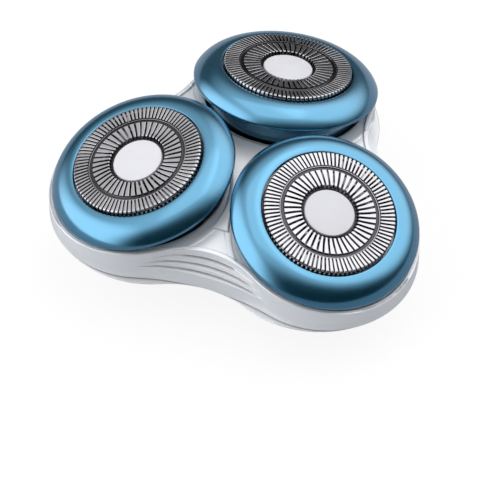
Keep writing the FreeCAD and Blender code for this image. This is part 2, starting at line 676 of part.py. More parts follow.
def foot(body, name, low, high):
    """Curved foot under the bowl, whose running face is round the tilt axis."""
    inner = "(foot_radius - foot_height)"
    swing_x, swing_z = "sin(foot_half_angle)", "cos(foot_half_angle)"
    sketch = new_sketch(body, f"{name}_outline", "XZ_Plane", height=f"-({high})")
    add_profile(sketch, [
        (f"-{inner} * {swing_x}", f"-pivot_depth - {inner} * {swing_z}"),
        (f"-foot_radius * {swing_x}", f"-pivot_depth - foot_radius * {swing_z}", "foot_radius"),
        (f"foot_radius * {swing_x}", f"-pivot_depth - foot_radius * {swing_z}"),
        (f"{inner} * {swing_x}", f"-pivot_depth - {inner} * {swing_z}")])
    feature(body, "Pad", name, sketch, Length=f"{high} - ({low})")


def cutter(head):
    """Cutter wheel: a disc that carries two rings of leaning blades."""
    body = new_body(f"cutter_{head}", head_frame(head))
    top = "(cutter_disc_height - cutter_disc_depth)"
    hole = "(hub_radius + hub_fit)"
    revolve(body, "disc", [(hole, "-cutter_disc_depth"), (OUTER_BLADE_END, "-cutter_disc_depth"),
                           (OUTER_BLADE_END, top), (hole, top)])
    blades = [blade(body, "outer_blade", OUTER_BLADE_START, f"{OUTER_BLADE_END} - blade_gap"),
              blade(body, "inner_blade", INNER_BLADE_START, INNER_BLADE_END)]
    pattern(body, "blade_rings", blades, "blades")


def blade(body, name, start, end):
    """One blade, leaning as it rises from the disc."""
    top = "(cutter_disc_height - cutter_disc_depth)"
    sketch = new_sketch(body, f"{name}_outline", height=f"{top} - cutter_disc_height / 2")
    add_box(sketch, start, end, "-blade_thickness / 2", "blade_thickness / 2")
    tip = "(inner_track_drop + cap_wall + blade_gap)"
    made = feature(body, "Pad", name, sketch, Length=f"-{tip} - {top} + cutter_disc_height / 2")
    made.UseCustomVector = True
    made.AlongSketchNormal = True
    made.setExpression("Direction.x", "0")
    made.setExpression("Direction.y", bound("tan(blade_lean)"))
    made.setExpression("Direction.z", "1")
    return made


def cutter_hub(head):
    """Coupling hub under the cutter, with a six-sided socket for the spindle's tip."""
    body = new_body(f"cutter_hub_{head}", head_frame(head))
    flange_end = "(cutter_disc_depth + hub_flange_height)"
    revolve(body, "hub", [
        ("0", "-hub_top"), ("hub_radius", "-hub_top"), ("hub_radius", "-cutter_disc_depth"),
        ("hub_flange", "-cutter_disc_depth"), ("hub_flange", f"-{flange_end}"),
        ("hub_barrel", f"-{flange_end}"), ("hub_barrel", "-hub_end"), ("0", "-hub_end")])
    sketch = new_sketch(body, "socket_outline", height="-hub_end")
    add_polygon(sketch, 6, PLAY_SOCKET)
    feature(body, "Pocket", "socket", sketch, Length="hub_end - socket_top", Reversed=True)


def retaining_ring(head):
    """Bayonet ring that keeps cap and cutter in the skin ring, with arms and finger grips."""
    body = new_body(f"retaining_ring_{head}", head_frame(head))
    arm_top = f"(retainer_arm_height - {RETAINER_END})"
    inside = f"({RETAINER_BORE} + tab_clearance)"
    grip_edge = f"({RETAINER_RADIUS} - tab_clearance)"
    tab_end = f"({TAB_TOP} + tab_height)"
    revolve(body, "rim", [(RETAINER_BORE, f"-{RETAINER_END}"), (RETAINER_RADIUS, f"-{RETAINER_END}"),
                          (RETAINER_RADIUS, f"-{RETAINER_TOP}"), (RETAINER_BORE, f"-{RETAINER_TOP}")])
    sketch = new_sketch(body, "arm_outline", height=f"-{RETAINER_END}")
    middle = "((retainer_eye + retainer_eye_rim) / 2)"
    add_box(sketch, middle, f"({RETAINER_BORE} + {RETAINER_RADIUS}) / 2",
            "-retainer_arm_width / 2", "retainer_arm_width / 2")
    arm = feature(body, "Pad", "arm", sketch, Length="retainer_arm_height")
    tab = revolve(body, "tab", [(inside, f"-{tab_end}"), (TAB_RADIUS, f"-{tab_end}"),
                                (TAB_RADIUS, f"-{TAB_TOP}"), (inside, f"-{TAB_TOP}")],
                  angle="tab_angle")
    grip = revolve(body, "grip", [
        (inside, f"-{RETAINER_END} - grip_height"), (grip_edge, f"-{RETAINER_END} - grip_height"),
        (grip_edge, f"-{RETAINER_END} + tab_clearance"), (inside, f"-{RETAINER_END} + tab_clearance")],
        turn="60", angle="grip_angle")
    pattern(body, "thirds", [arm, tab, grip], "3")
    revolve(body, "eye", [
        ("retainer_eye", f"-{RETAINER_END}"), ("retainer_eye_rim", f"-{RETAINER_END}"),
        ("retainer_eye_rim", arm_top), ("retainer_eye", arm_top)])


# The holder, the part that pulls off with the three heads.

def dome(name, crown):
    """The ball whose top is the deck's shallow dome, raised or lowered to a crown height."""
    return ball(name, "deck_curve", f"placement(vector(0; 0; {crown} - deck_curve); rotationz(0))")


def holder_levels():
    """The holder's stepped wall: ledges widen the waists downwards, with a groove over each."""
    steps = [("lower_wall", "waist_lower", HOLDER_BOTTOM, "lower_ledge"),
             ("lower_groove", "waist_middle - 2 * groove_cut", "lower_ledge",
              "(lower_ledge + groove_height)"),
             ("middle_wall", "waist_middle", "(lower_ledge + groove_height)", "middle_ledge"),
             ("middle_groove", "waist_upper - groove_cut", "middle_ledge", "(middle_ledge + groove_height)"),
             ("upper_wall", "waist_upper", "(middle_ledge + groove_height)", "upper_ledge"),
             ("upper_groove", "waist_top - groove_cut", "upper_ledge", "(upper_ledge + groove_height)"),
             ("top_wall", "waist_top", "(upper_ledge + groove_height)", f"({LIP_CROWN} + lip_width)")]
    return [trefoil_prism(name, LOBE_ORBIT, LOBE_RADIUS, f"({waist})", low, high)
            for name, waist, low, high in steps]


def wells(name, grow="0"):
    """The three wells that the heads sit in: ball-shaped cup, flare and straight mouth."""
    seat = f"({BOWL_BALL} + well_gap + {grow})"
    flare = f"sqrt({seat} ^ 2 - (well_flare_depth - pivot_depth) ^ 2)"
    mouth = f"({RING_RADIUS} + mouth_gap + {grow})"
    section = [("0", "0"), ("0", f"-pivot_depth - {seat}", seat),
               (flare, "-well_flare_depth", "well_flare_curve"),
               (mouth, "-well_mouth_depth"), (mouth, "0")]
    return [turned(f"{name}_{head}", section, head_frame(head)) for head in HEADS]


def cradles():
    """Scooped seats under each head, in which the bowl's feet run, tied to the cup by bars."""
    low = f"({HOLDER_BOTTOM} - {PIVOT_HEIGHT})"
    made = []
    for side, y_low in (("left", "foot_offset"), ("right", "(-foot_offset - foot_width)")):
        y_high = f"({y_low} + foot_width)"
        seat = block(f"{side}_seat", "-cradle_inner", "cradle_outer", y_low, y_high,
                     low, f"({low} + cradle_height)")
        bar_low = "foot_offset" if side == "left" else f"-{BOWL_BALL}"
        bar_high = BOWL_BALL if side == "left" else "-foot_offset"
        bar = block(f"{side}_bar", "-cradle_inner", "cradle_outer", bar_low, bar_high,
                    low, f"({low} + cradle_bar)")
        made.extend([seat, bar])
    solid = combine("MultiFuse", "cradle_blocks", made)
    scoop = doc.addObject("Part::Cylinder", "cradle_scoop")
    scoop.setExpression("Radius", bound("foot_radius + cradle_gap"))
    scoop.setExpression("Height", bound("4 * foot_radius"))
    scoop.setExpression("Placement", bound("placement(vector(0; 2 * foot_radius; 0); rotationx(90))"))
    scooped = cut("cradle_scooped", solid, scoop)
    inside = ball("cradle_limit", f"{BOWL_BALL} + well_gap + cup_wall / 2",
                  "placement(vector(0; 0; 0); rotationz(0))")
    pair = combine("MultiCommon", "cradle_pair", [scooped, inside])
    return [combine("Compound", f"cradle_{head}", [pair], pivot_frame(head)) for head in HEADS]


def holder_frame():
    """Silver trefoil: stepped wall, domed deck with a lip, three wells, cups and cradles."""
    walls = combine("MultiFuse", "stepped_wall", holder_levels())
    blank = combine("MultiCommon", "domed_blank", [walls, dome("lip_dome", LIP_CROWN)])
    above_deck = cut("deck_space", trefoil_prism(
        "inside_lip", LOBE_ORBIT, f"({LOBE_RADIUS} - lip_width)", "(waist_top + lip_width)",
        "upper_ledge - deck_thickness", f"({LIP_CROWN} + lip_width)"), dome("deck_dome", "deck_crown"))
    hollow = combine("MultiCommon", "hollow_blank", [trefoil_prism(
        "inside_wall", LOBE_ORBIT, f"({LOBE_RADIUS} - holder_wall)", "(waist_top + holder_wall)",
        f"({HOLDER_BOTTOM} - holder_wall)", "deck_crown"), dome("ceiling", "deck_crown - deck_thickness")])
    cups = combine("MultiFuse", "cups", [
        ball(f"cup_{head}", f"{BOWL_BALL} + well_gap + cup_wall", pivot_frame(head)) for head in HEADS])
    bare = cut("hollow_space", hollow, cups)
    shell = cut("holder_shell", blank, combine("MultiFuse", "holder_spaces", [above_deck, bare]))
    opened = cut("holder_opened", shell, combine("MultiFuse", "wells", wells("well")))
    sleeve = cylinder("sleeve", "post_radius + post_fit + sleeve_wall",
                      HOLDER_BOTTOM, "(deck_crown - deck_thickness / 2)")
    joined = combine("MultiFuse", "holder_joined", [opened, sleeve] + cradles())
    bore = cylinder("sleeve_bore", "post_radius + post_fit", f"({HOLDER_BOTTOM} - post_fit)",
                    f"({BASE_TOP} + post_height + post_fit)")
    finished("holder_frame", cut("holder", joined, bore))


def centre_plate():
    """Raised three-armed plate in the middle of the deck, cut back round the wells."""
    sketch = new_sketch(None, "plate_outline", height="upper_ledge")
    far = "(2 * plate_reach)"
    add_profile(sketch, [(f"{far} * cos({azimuth(head)})", f"{far} * sin({azimuth(head)})")
                         for head in HEADS])
    prism = extrude("plate_prism", sketch, f"{LIP_CROWN} + lip_width - upper_ledge")
    domed = combine("MultiCommon", "plate_domed", [prism, dome("plate_dome", LIP_CROWN)])
    sheet_form = cut("plate_sheet", domed, dome("plate_seat", "deck_crown"))
    mouths = combine("MultiFuse", "plate_mouths", wells("plate_mouth", "plate_well_gap"))
    finished("centre_plate", cut("plate", sheet_form, mouths))


# The base, its cover and the gear train.

def base_shell():
    """Lower shell: shoulder and inset underside, gear chamber, axle posts and spigot."""
    body = new_body("base_shell")
    outlines = [("edge", BASE_TOP, "0"), ("shoulder", f"({BASE_TOP} - shoulder_drop)", "shoulder_inset"),
                ("bottom", "spigot_length", "bottom_inset")]
    sections = []
    for name, height, inset in outlines:
        sketch = new_sketch(body, f"{name}_outline", height=height)
        add_trefoil(sketch, BASE_ORBIT, f"({BASE_LOBE} - {inset})", f"(base_waist + {inset})")
        sections.append(sketch)
    for name, first, last in (("upper_side", 0, 1), ("lower_side", 1, 2)):
        side = feature(body, "AdditiveLoft", name, sections[first], Ruled=True)
        side.Sections = [sections[last]]
    spigot = new_sketch(body, "spigot_outline")
    add_circle(spigot, "spigot_radius")
    feature(body, "Pad", "spigot", spigot, Length="spigot_length + base_floor / 2")
    recess = new_sketch(body, "recess_outline")
    add_circle(recess, "spigot_radius - spigot_wall")
    feature(body, "Pocket", "coupling_recess", recess, Length="spigot_length", Reversed=True)
    key = new_sketch(body, "key_outline", "XY_Plane")
    add_box(key, "spigot_radius - 2 * spigot_wall", "spigot_radius + spigot_wall",
            "-spigot_key_width / 2", "spigot_key_width / 2")
    notch = feature(body, "Pocket", "key_slot", key, Length="spigot_key_depth", Reversed=True)
    pattern(body, "key_slots", [notch], "3")
    seat = new_sketch(body, "seat_outline", height=BASE_TOP)
    add_trefoil(seat, BASE_ORBIT, f"({BASE_LOBE} - cover_inset)", "(base_waist + cover_inset)")
    feature(body, "Pocket", "cover_seat", seat, Length="cover_height")
    sun_space = new_sketch(body, "sun_space_outline", height=COVER_BOTTOM)
    add_circle(sun_space, f"{GEAR_MODULE} * (sun_teeth / 2 + 1) + chamber_gap")
    depth = f"{COVER_BOTTOM} - {CHAMBER_FLOOR}"
    feature(body, "Pocket", "sun_space", sun_space, Length=depth)
    for head in HEADS:
        x = f"{SPINDLE_ORBIT} * cos({azimuth(head)})"
        y = f"{SPINDLE_ORBIT} * sin({azimuth(head)})"
        space = new_sketch(body, f"pinion_space_outline_{head}", height=COVER_BOTTOM)
        add_circle(space, f"{GEAR_MODULE} * (pinion_teeth / 2 + 1) + chamber_gap", x, y)
        feature(body, "Pocket", f"pinion_space_{head}", space, Length=depth)
        post = new_sketch(body, f"axle_outline_{head}", height=f"{CHAMBER_FLOOR} - base_floor / 2")
        add_circle(post, "axle_radius", x, y)
        feature(body, "Pad", f"axle_{head}", post, Length="axle_length + base_floor / 2")
    bearing = new_sketch(body, "bearing_outline", height=CHAMBER_FLOOR)
    add_circle(bearing, "sun_hub + sun_fit")
    feature(body, "Pocket", "sun_bearing", bearing, Length="2 * base_floor")


def gear_cover():
    """Plate over the gears, with holes for the sleeves and a post that guides the holder."""
    body = new_body("gear_cover")
    outline = new_sketch(body, "cover_outline", height=COVER_BOTTOM)
    inset = "(cover_inset + cover_fit)"
    add_trefoil(outline, BASE_ORBIT, f"({BASE_LOBE} - {inset})", f"(base_waist + {inset})")
    feature(body, "Pad", "plate", outline, Length="cover_height")
    post = new_sketch(body, "post_outline", height=BASE_TOP)
    add_circle(post, "post_radius")
    feature(body, "Pad", "post", post, Length="post_height")
    for head in HEADS:
        hole = new_sketch(body, f"sleeve_hole_outline_{head}", height=BASE_TOP)
        add_circle(hole, "sleeve_radius + sleeve_clearance",
                   f"{SPINDLE_ORBIT} * cos({azimuth(head)})", f"{SPINDLE_ORBIT} * sin({azimuth(head)})")
        feature(body, "Pocket", f"sleeve_hole_{head}", hole, Length="2 * cover_height")


def involute(base_radius, radius):
    """Angle by which an involute from the base circle has turned at a radius."""
    ratio = min(1.0, base_radius / radius)
    angle = math.acos(ratio)
    return math.tan(angle) - angle


def gear_solid(teeth, turn):
    """Spur gear between the gear heights, with a tooth centred on a turn in radians."""
    module = value(GEAR_MODULE)
    pitch = module * teeth / 2
    rolling = pitch * math.cos(math.radians(value("pressure_angle")))
    root, tip = pitch - 1.2 * module, pitch + 0.95 * module
    half = math.pi / (2 * teeth) - value("backlash") / (4 * pitch)
    flank = [(radius, half + involute(rolling, pitch) - involute(rolling, radius))
             for radius in (max(root, rolling), pitch, tip)]
    if root < rolling:
        flank.insert(0, (root, flank[0][1]))
    corners = []
    for tooth in range(teeth):
        middle = turn + 2 * math.pi * tooth / teeth
        for radius, angle in flank:
            corners.append((radius, middle - angle))
        for radius, angle in reversed(flank):
            corners.append((radius, middle + angle))
    low = value(GEAR_BOTTOM)
    points = [Vector(radius * math.cos(angle), radius * math.sin(angle), low) for radius, angle in corners]
    return Part.Face(Part.makePolygon(points + points[:1])).extrude(Vector(0, 0, value("gear_height")))


def polygon_prism(sides, width, low, high):
    """Upright prism on a regular polygon, of a width across its flats."""
    corner = width / 2 / math.cos(math.pi / sides)
    points = [Vector(corner * math.cos(2 * math.pi * side / sides),
                     corner * math.sin(2 * math.pi * side / sides), low) for side in range(sides + 1)]
    return Part.Face(Part.makePolygon(points)).extrude(Vector(0, 0, high - low))


def shape_piece(name, shape, frame):
    """A piece whose solid is set here, placed by a bound frame."""
    piece = doc.addObject("Part::Feature", name)
    piece.Label = name
    piece.Shape = shape
    piece.setExpression("Placement", bound(frame))
    pieces.append(piece)


def sun_gear():
    """Central gear, whose hub runs in the base and takes the handle's six-sided shaft."""
    low, high = value("spigot_length"), value(GEAR_TOP)
    hub = Part.makeCylinder(value("sun_hub"), high - low, Vector(0, 0, low))
    socket = polygon_prism(6, value("drive_width"), low, low + value("drive_depth") - value("gear_float"))
    shape_piece("sun_gear", gear_solid(int(value("sun_teeth")), 0).fuse(hub).cut(socket), centre_frame())


def pinion(head):
    """Outer gear with a sleeve: round outside, six-sided inside where the spindle slides."""
    teeth = int(value("pinion_teeth"))
    facing = (head - 1) * value("sun_teeth") / 3 % 1
    gear = gear_solid(teeth, math.pi + math.pi / teeth + facing * 2 * math.pi / teeth)
    low, web, top = value(GEAR_BOTTOM), value(WEB_TOP), value(SLEEVE_TOP)
    sleeve = Part.makeCylinder(value("sleeve_radius"), top - low, Vector(0, 0, low))
    way = polygon_prism(6, value("spindle_width + 2 * spindle_fit"), web, top)
    axle_hole = Part.makeCylinder(value("axle_radius + axle_fit"), web - low, Vector(0, 0, low))
    shape_piece(f"pinion_{head}", gear.fuse(sleeve).cut(way).cut(axle_hole), gear_frame(head))


def spindle(head):
    """Sliding spindle: six-sided foot, round neck and a six-sided tip tapered both ways."""
    body = new_body(f"spindle_{head}", gear_frame(head))
    sketch = new_sketch(body, "foot_outline", height=SPINDLE_BOTTOM)
    add_polygon(sketch, 6, "spindle_width")
    feature(body, "Pad", "foot", sketch, Length="spindle_foot")
    tip_low = f"({TIP_HEIGHT} - tip_length / 2)"
    neck = new_sketch(body, "neck_outline", height=SPINDLE_SHOULDER)
    add_circle(neck, "spindle_neck")
    feature(body, "Pad", "neck", neck, Length=f"{TIP_HEIGHT} - {SPINDLE_SHOULDER}")
    sections = []
    for name, height, width in (("low", tip_low, "tip_end_width"), ("middle", TIP_HEIGHT, "tip_width"),
                                ("high", f"({TIP_HEIGHT} + tip_length / 2)", "tip_end_width")):
        sections.append(new_sketch(body, f"tip_{name}_outline", height=height))
        add_polygon(sections[-1], 6, width)
    tip = feature(body, "AdditiveLoft", "tip", sections[0], Ruled=True)
    tip.Sections = sections[1:]
    bore = new_sketch(body, "bore_outline", height=SPINDLE_BOTTOM)
    add_circle(bore, "spindle_bore")
    feature(body, "Pocket", "bore", bore, Length="spindle_travel", Reversed=True)


def spindle_spring(head):
    """Square-wire spring between the outer gear's web and the spindle's foot."""
    wire, radius = value("spring_wire"), value("spring_radius")
    rise = value("spring_length") - wire
    path = Part.makeHelix(rise / value("spring_turns"), rise, radius)
    corners = [(-1, -1), (1, -1), (1, 1), (-1, 1), (-1, -1)]
    section = Part.makePolygon([Vector(radius + x * wire / 2, 0, z * wire / 2) for x, z in corners])
    coil = Part.Wire(path.Edges).makePipeShell([section], True, True)
    shape_piece(f"spindle_spring_{head}", coil, gear_frame(head, f"{WEB_TOP} + spring_wire / 2"))


def check_and_write():
    """Stop if anything failed or isn't one valid solid, then write one file for each piece."""
    for item in doc.Objects:
        if "Invalid" in item.State or "Error" in item.State:
            raise RuntimeError(f"{item.Name} ({item.Label}) failed: {item.State}")
    os.makedirs("parts", exist_ok=True)
    for piece in pieces:
        shape = piece.Shape
        if shape.isNull() or not shape.isValid() or len(shape.Solids) != 1:
            raise RuntimeError(f"{piece.Label} isn't one valid solid: {len(shape.Solids)} solids")
    for piece in pieces:
        piece.Shape.exportStep(f"parts/{piece.Label}.step")
        print(f"{piece.Label}: {piece.Shape.Volume:.1f} mm3")


def main():
    """Build every piece, heads first, and write them."""
    for head in HEADS:
        for make in (shaving_cap, cap_disc, skin_ring, head_bowl, cutter, cutter_hub, retaining_ring,
                     pinion, spindle, spindle_spring):
            make(head)
    holder_frame()
    centre_plate()
    base_shell()
    gear_cover()
    sun_gear()
    doc.recompute()
    check_and_write()


main()
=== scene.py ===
"""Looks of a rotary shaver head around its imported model.

Finer caps, discs and rings stand for the plain ones, every other piece gets its finish, and a
small studio is set up round it. Sizes are millimetres here and metres in the scene.
"""
import math
from types import SimpleNamespace

import bmesh
import bpy
from bpy.props import FloatProperty, FloatVectorProperty, IntProperty, PointerProperty
from mathutils import Matrix, Vector


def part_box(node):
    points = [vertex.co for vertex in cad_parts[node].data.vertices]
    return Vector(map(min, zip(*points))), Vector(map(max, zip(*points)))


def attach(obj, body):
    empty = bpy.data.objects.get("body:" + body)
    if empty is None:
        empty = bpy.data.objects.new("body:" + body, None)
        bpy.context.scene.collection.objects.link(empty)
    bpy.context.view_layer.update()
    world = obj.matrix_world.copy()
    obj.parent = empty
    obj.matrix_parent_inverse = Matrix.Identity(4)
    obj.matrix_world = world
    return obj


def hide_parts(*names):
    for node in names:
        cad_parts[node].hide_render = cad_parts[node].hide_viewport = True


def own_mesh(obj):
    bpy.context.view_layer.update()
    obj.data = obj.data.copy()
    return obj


bl_info = {
    "name": "Rotary shaver head",
    "version": (1, 0, 0),
    "blender": (4, 5, 0),
    "location": "View3D > Sidebar > Shaver head",
    "description": "Finishes and finer pieces for a packed rotary shaver head",
    "category": "Object",
}

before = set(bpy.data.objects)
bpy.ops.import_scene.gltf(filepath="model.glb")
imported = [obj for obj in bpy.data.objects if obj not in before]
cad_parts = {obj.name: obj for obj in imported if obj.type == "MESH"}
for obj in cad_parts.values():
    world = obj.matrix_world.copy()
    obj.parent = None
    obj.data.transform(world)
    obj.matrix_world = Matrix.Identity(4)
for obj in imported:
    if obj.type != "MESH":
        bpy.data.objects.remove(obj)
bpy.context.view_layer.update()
MM = 0.001
HEADS = (1, 2, 3)
MERGE = 0.0005 * MM
FLOOR_HALF = 1500

# Section of the lip: way across from its foot, and share of its height.
LIP = ((0.1, 0.6), (0.22, 1.0), (0.78, 1.0), (0.88, 0.7))

# Overhead light and the point it faces, in metres.
LAMP_PLACE = (-0.05, 0.1, 0.55)
LAMP_SIDE = 0.45
LAMP_TARGET = (0, 0, 0.018)

# Side of the square picture in pixels, and of the camera's sensor in millimetres.
PICTURE = 480
SENSOR = 36


# Settings.

def length(name, description, default):
    """Setting given here in millimetres and kept in metres."""
    return FloatProperty(name=name, description=description, default=default * MM,
                         precision=5, unit="LENGTH")


def angle(name, description, default):
    """Setting given here in degrees and kept in radians."""
    return FloatProperty(name=name, description=description, default=math.radians(default),
                         subtype="ANGLE")


def share(name, description, default):
    """Setting between 0 and 1."""
    return FloatProperty(name=name, description=description, default=default, min=0, max=1,
                         subtype="FACTOR")


def pixels(name, description, default):
    """Setting in pixels of the picture."""
    return FloatProperty(name=name, description=description, default=default, subtype="PIXEL")


def colour(name, description, default):
    """Setting that holds a linear colour."""
    return FloatVectorProperty(name=name, description=description, default=default, size=3,
                               min=0, max=1, subtype="COLOR")


class HeadSettings(bpy.types.PropertyGroup):
    """Where the heads stand and how they lean."""
    first: angle("First head", "Direction of the first head from the axis", -30)
    lean: angle("Lean", "Outward lean of a head", 17.0)
    orbit: length("Orbit", "Middle of a cap's top from the axis", 20.6699)
    height: length("Height", "Height of the middle of a cap's top", 22.6)
    pivot: length("Pivot", "Rocking axis below a cap's top", 3.0)


class CapSettings(bpy.types.PropertyGroup):
    """Slotted cap of one head, with its disc."""
    radius: length("Radius", "Outside of a cap", 11.75)
    wall: length("Sheet", "Thickness of a cap's sheet", 0.35)
    slots: IntProperty(name="Slots", description="Outer slots, two for each inner one",
                       default=90, min=2)
    outer_slot: length("Outer slot", "Width of an outer slot", 0.28)
    inner_slot: length("Inner slot", "Width of an inner slot", 0.34)
    outer_lean: angle("Outer lean", "Turn of an outer slot along its length", 1.4)
    inner_lean: angle("Inner lean", "Turn of an inner slot along its length", 3.2)
    bevel: length("Worn edge", "Worn edge of a bar between two slots", 0.05)
    edge: length("Edge", "Rounding of a cap's edge", 0.3)
    flange: length("Flange", "Radius of the flange at a cap's foot", 12.6)
    depth: length("Depth", "Underside of the flange below the top", 3.25)
    side: length("Slot end", "End of the slots below the top", 1.0)
    inner_start: length("Inner start", "Inner radius of the inner track", 5.22)
    inner_end: length("Inner end", "Outer radius of the inner track", 8.17)
    outer_start: length("Outer start", "Inner radius of the outer track", 9.08)
    inner_drop: length("Drop", "Inner track below the outer one", 0.05)
    disc: length("Disc", "Radius of the disc", 4.5)
    disc_top: length("Disc's top", "Top of the disc below the cap's top", 0.45)
    disc_edge: length("Disc's edge", "Rounding of the disc's edge", 0.2)
    recess: length("Recess", "Floor of the recess under the disc, below the top", 1.0)


class RingSettings(bpy.types.PropertyGroup):
    """Domed skin ring of one head."""
    radius: length("Radius", "Outside of a ring", 17.0)
    bore: length("Bore", "Bore round the cap", 12.05)
    crown: length("Crown", "Radius of the crown, seen in section", 5.2)
    rim: length("Rim", "Widest place below the cap's top", 3.5)
    inner_edge: length("Inner edge", "Inner end of the crown below the cap's top", 0.65)
    flat: length("Edge width", "Inner end of the crown from the bore", 0.25)
    turn_in: length("Turned in", "How far the edge turns in under the rim", 0.55)
    under: length("Underside", "Underside below the cap's top", 4.2)
    skirt: length("Skirt", "Outside of the skirt", 13.95)
    skirt_bore: length("Skirt's bore", "Bore of the skirt", 12.9)
    groove: length("Groove", "Radius of the groove in that bore", 13.5)
    groove_top: length("Groove's top", "Top of the groove below the cap's top", 3.85)
    groove_end: length("Groove's end", "End of the groove below the cap's top", 4.75)
    shelf: length("Shelf", "Shelf under the cap, below the cap's top", 2.8)
    skirt_end: length("Skirt's end", "End of the skirt below the cap's top", 5.2)
    steps: IntProperty(name="Steps", description="Steps round a ring", default=256, min=8)


class HolderSettings(bpy.types.PropertyGroup):
    """Deck and lip round the wells of the holder."""
    orbit: length("Orbit", "Middle of a lobe from the axis", 19.8)
    lobe: length("Lobe", "Radius of a lobe", 16.7)
    waist: length("Waist", "Radius of the hollow curve between two lobes", 17.0)
    crown: length("Crown", "Height of the deck in the middle", 18.35)
    dome: length("Dome", "Radius of the deck's dome", 142.0)
    lip: length("Lip", "Height of the lip above the deck", 0.45)
    lip_width: length("Lip's width", "Width of the lip", 0.8)
    seat: length("Seat", "Radius of a well's ball", 15.4)
    under: length("Lowered lip", "Lip under a ring, below the cap's top", 4.45)
    deck_step: length("Deck step", "Deck under a ring, below the lip", 0.3)
    bend: length("Bend", "Height over which dome and slope blend", 0.8)
    sag: length("Sag", "Depth of that blend", 0.2)
    outside: length("Outside", "Nearest lowered lip to the axis", 24.0)
    reach: length("Reach", "Reach of a collar from a lobe's middle", 17.7)
    foot: length("Foot", "Height of a collar's bottom", 11.0)
    shoulder: length("Shoulder", "Rounding at the edge of a well", 0.12)


class FinishSettings(bpy.types.PropertyGroup):
    """Colours, each between a darker and a lighter one."""
    ring_dark: colour("Ring, dark", "Darker colour of the rings", (0.026, 0.205, 0.345))
    ring_light: colour("Ring, light", "Lighter colour of the rings", (0.034, 0.24, 0.395))
    silver_dark: colour("Silver, dark", "Darker colour of the holder", (0.72, 0.73, 0.745))
    silver_light: colour("Silver, light", "Lighter colour of the holder", (0.8, 0.81, 0.825))
    # The bowls' colours are the rings' blue made darker, as painted shade for the shadow under the
    # rings.
    bowl_dark: colour("Bowl, dark", "Darker colour of the bowls", (0.02, 0.14, 0.23))
    bowl_shaded_light: colour("Bowl, light", "Lighter colour of the bowls", (0.03, 0.17, 0.28))
    cap_dark: colour("Cap, dark", "Darker colour of the caps", (0.4, 0.395, 0.405))
    cap_light: colour("Cap, light", "Lighter colour of the caps", (0.53, 0.52, 0.535))
    disc_dark: colour("Disc, dark", "Darker colour of the discs", (0.6, 0.595, 0.62))
    disc_light: colour("Disc, light", "Lighter colour of the discs", (0.66, 0.655, 0.68))
    gear_dark: colour("Gear, dark", "Darker colour of the gears", (0.68, 0.67, 0.62))
    gear_light: colour("Gear, light", "Lighter colour of the gears", (0.78, 0.77, 0.73))
    black_dark: colour("Black, dark", "Darker black inside", (0.012, 0.012, 0.015))
    black_light: colour("Black, light", "Lighter black inside", (0.03, 0.03, 0.034))


class StageSettings(bpy.types.PropertyGroup):
    """Camera, floor and light."""
    azimuth: angle("Azimuth", "Direction of the camera round the axis", 17.38)
    elevation: angle("Elevation", "Height of the camera above the level", 47.67)
    roll: angle("Roll", "Turn of the camera about its view", 2.01)
    distance: length("Distance", "Camera from the height of the caps", 415.0)
    focal: pixels("Focal length", "Focal length in pixels", 2340.6)
    aim_x: pixels("Aim across", "Place of the aimed point across the picture", 251.84)
    aim_y: pixels("Aim down", "Place of the aimed point down the picture", 143.44)
    key: FloatProperty(name="Overhead light", description="Power of the overhead light",
                       default=0.35, min=0, unit="POWER")
    room: FloatProperty(name="Room", description="Brightness of the room", default=1.0, min=0)
    shown: share("Floor shown", "Share of plain white in the floor as seen", 0.88)
    mirrored: share("Floor mirrored", "Darkening of the floor in reflections", 0.8)


SETTINGS = {"shaver_heads": HeadSettings, "shaver_cap": CapSettings,
            "shaver_ring": RingSettings, "shaver_holder": HolderSettings,
            "shaver_finish": FinishSettings, "shaver_stage": StageSettings}


def settings(name):
    """Settings of a group, with its lengths in millimetres."""
    group = getattr(bpy.context.scene, f"shaver_{name}")
    found = SimpleNamespace()
    for key in SETTINGS[f"shaver_{name}"].__annotations__:
        setting = getattr(group, key)
        if group.bl_rna.properties[key].unit == "LENGTH":
            setting /= MM
        setattr(found, key, setting)
    return found


# Shader graphs.

class Num:
    """A shader value that takes part in ordinary arithmetic."""

    def __init__(self, graph, socket):
        self.graph = graph
        self.socket = socket

    def op(self, operation, *others):
        node = self.graph.node("ShaderNodeMath", dict(enumerate((self, *others))),
                               operation=operation)
        return Num(self.graph, node.outputs[0])

    def __add__(self, other):
        return self.op("ADD", other)

    def __mul__(self, other):
        return self.op("MULTIPLY", other)

    __radd__, __rmul__ = __add__, __mul__

    def between(self, low, high):
        """This value from 0 to 1 spread from low to high, and held there."""
        node = self.graph.node("ShaderNodeMapRange",
                               {"Value": self, "To Min": low, "To Max": high})
        return Num(self.graph, node.outputs["Result"])

    def step(self, low, high):
        """Smooth 0 to 1 as this value goes from low to high."""
        node = self.graph.node("ShaderNodeMapRange",
                               {"Value": self, "From Min": low, "From Max": high},
                               interpolation_type="SMOOTHSTEP")
        return Num(self.graph, node.outputs["Result"])


class Graph:
    """Short ways to build a node tree."""

    def __init__(self, tree):
        self.tree = tree

    def node(self, kind, sockets=None, **choices):
        """New node of a kind, with its choices set, then the values or links of its sockets."""
        made = self.tree.nodes.new(kind)
        for key, choice in choices.items():
            setattr(made, key, choice)
        for key, item in (sockets or {}).items():
            self.feed(made.inputs[key], item)
        return made

    def feed(self, target, item):
        """Link a value or socket to an input, or set a plain number on it."""
        if isinstance(item, Num):
            item = item.socket
        if isinstance(item, bpy.types.NodeSocket):
            self.tree.links.new(item, target)
        else:
            target.default_value = item

    def along(self, vector, direction):
        """How far a vector goes along a direction."""
        node = self.node("ShaderNodeVectorMath", {0: vector, 1: Vector(direction).normalized()},
                         operation="DOT_PRODUCT")
        return Num(self, node.outputs["Value"])


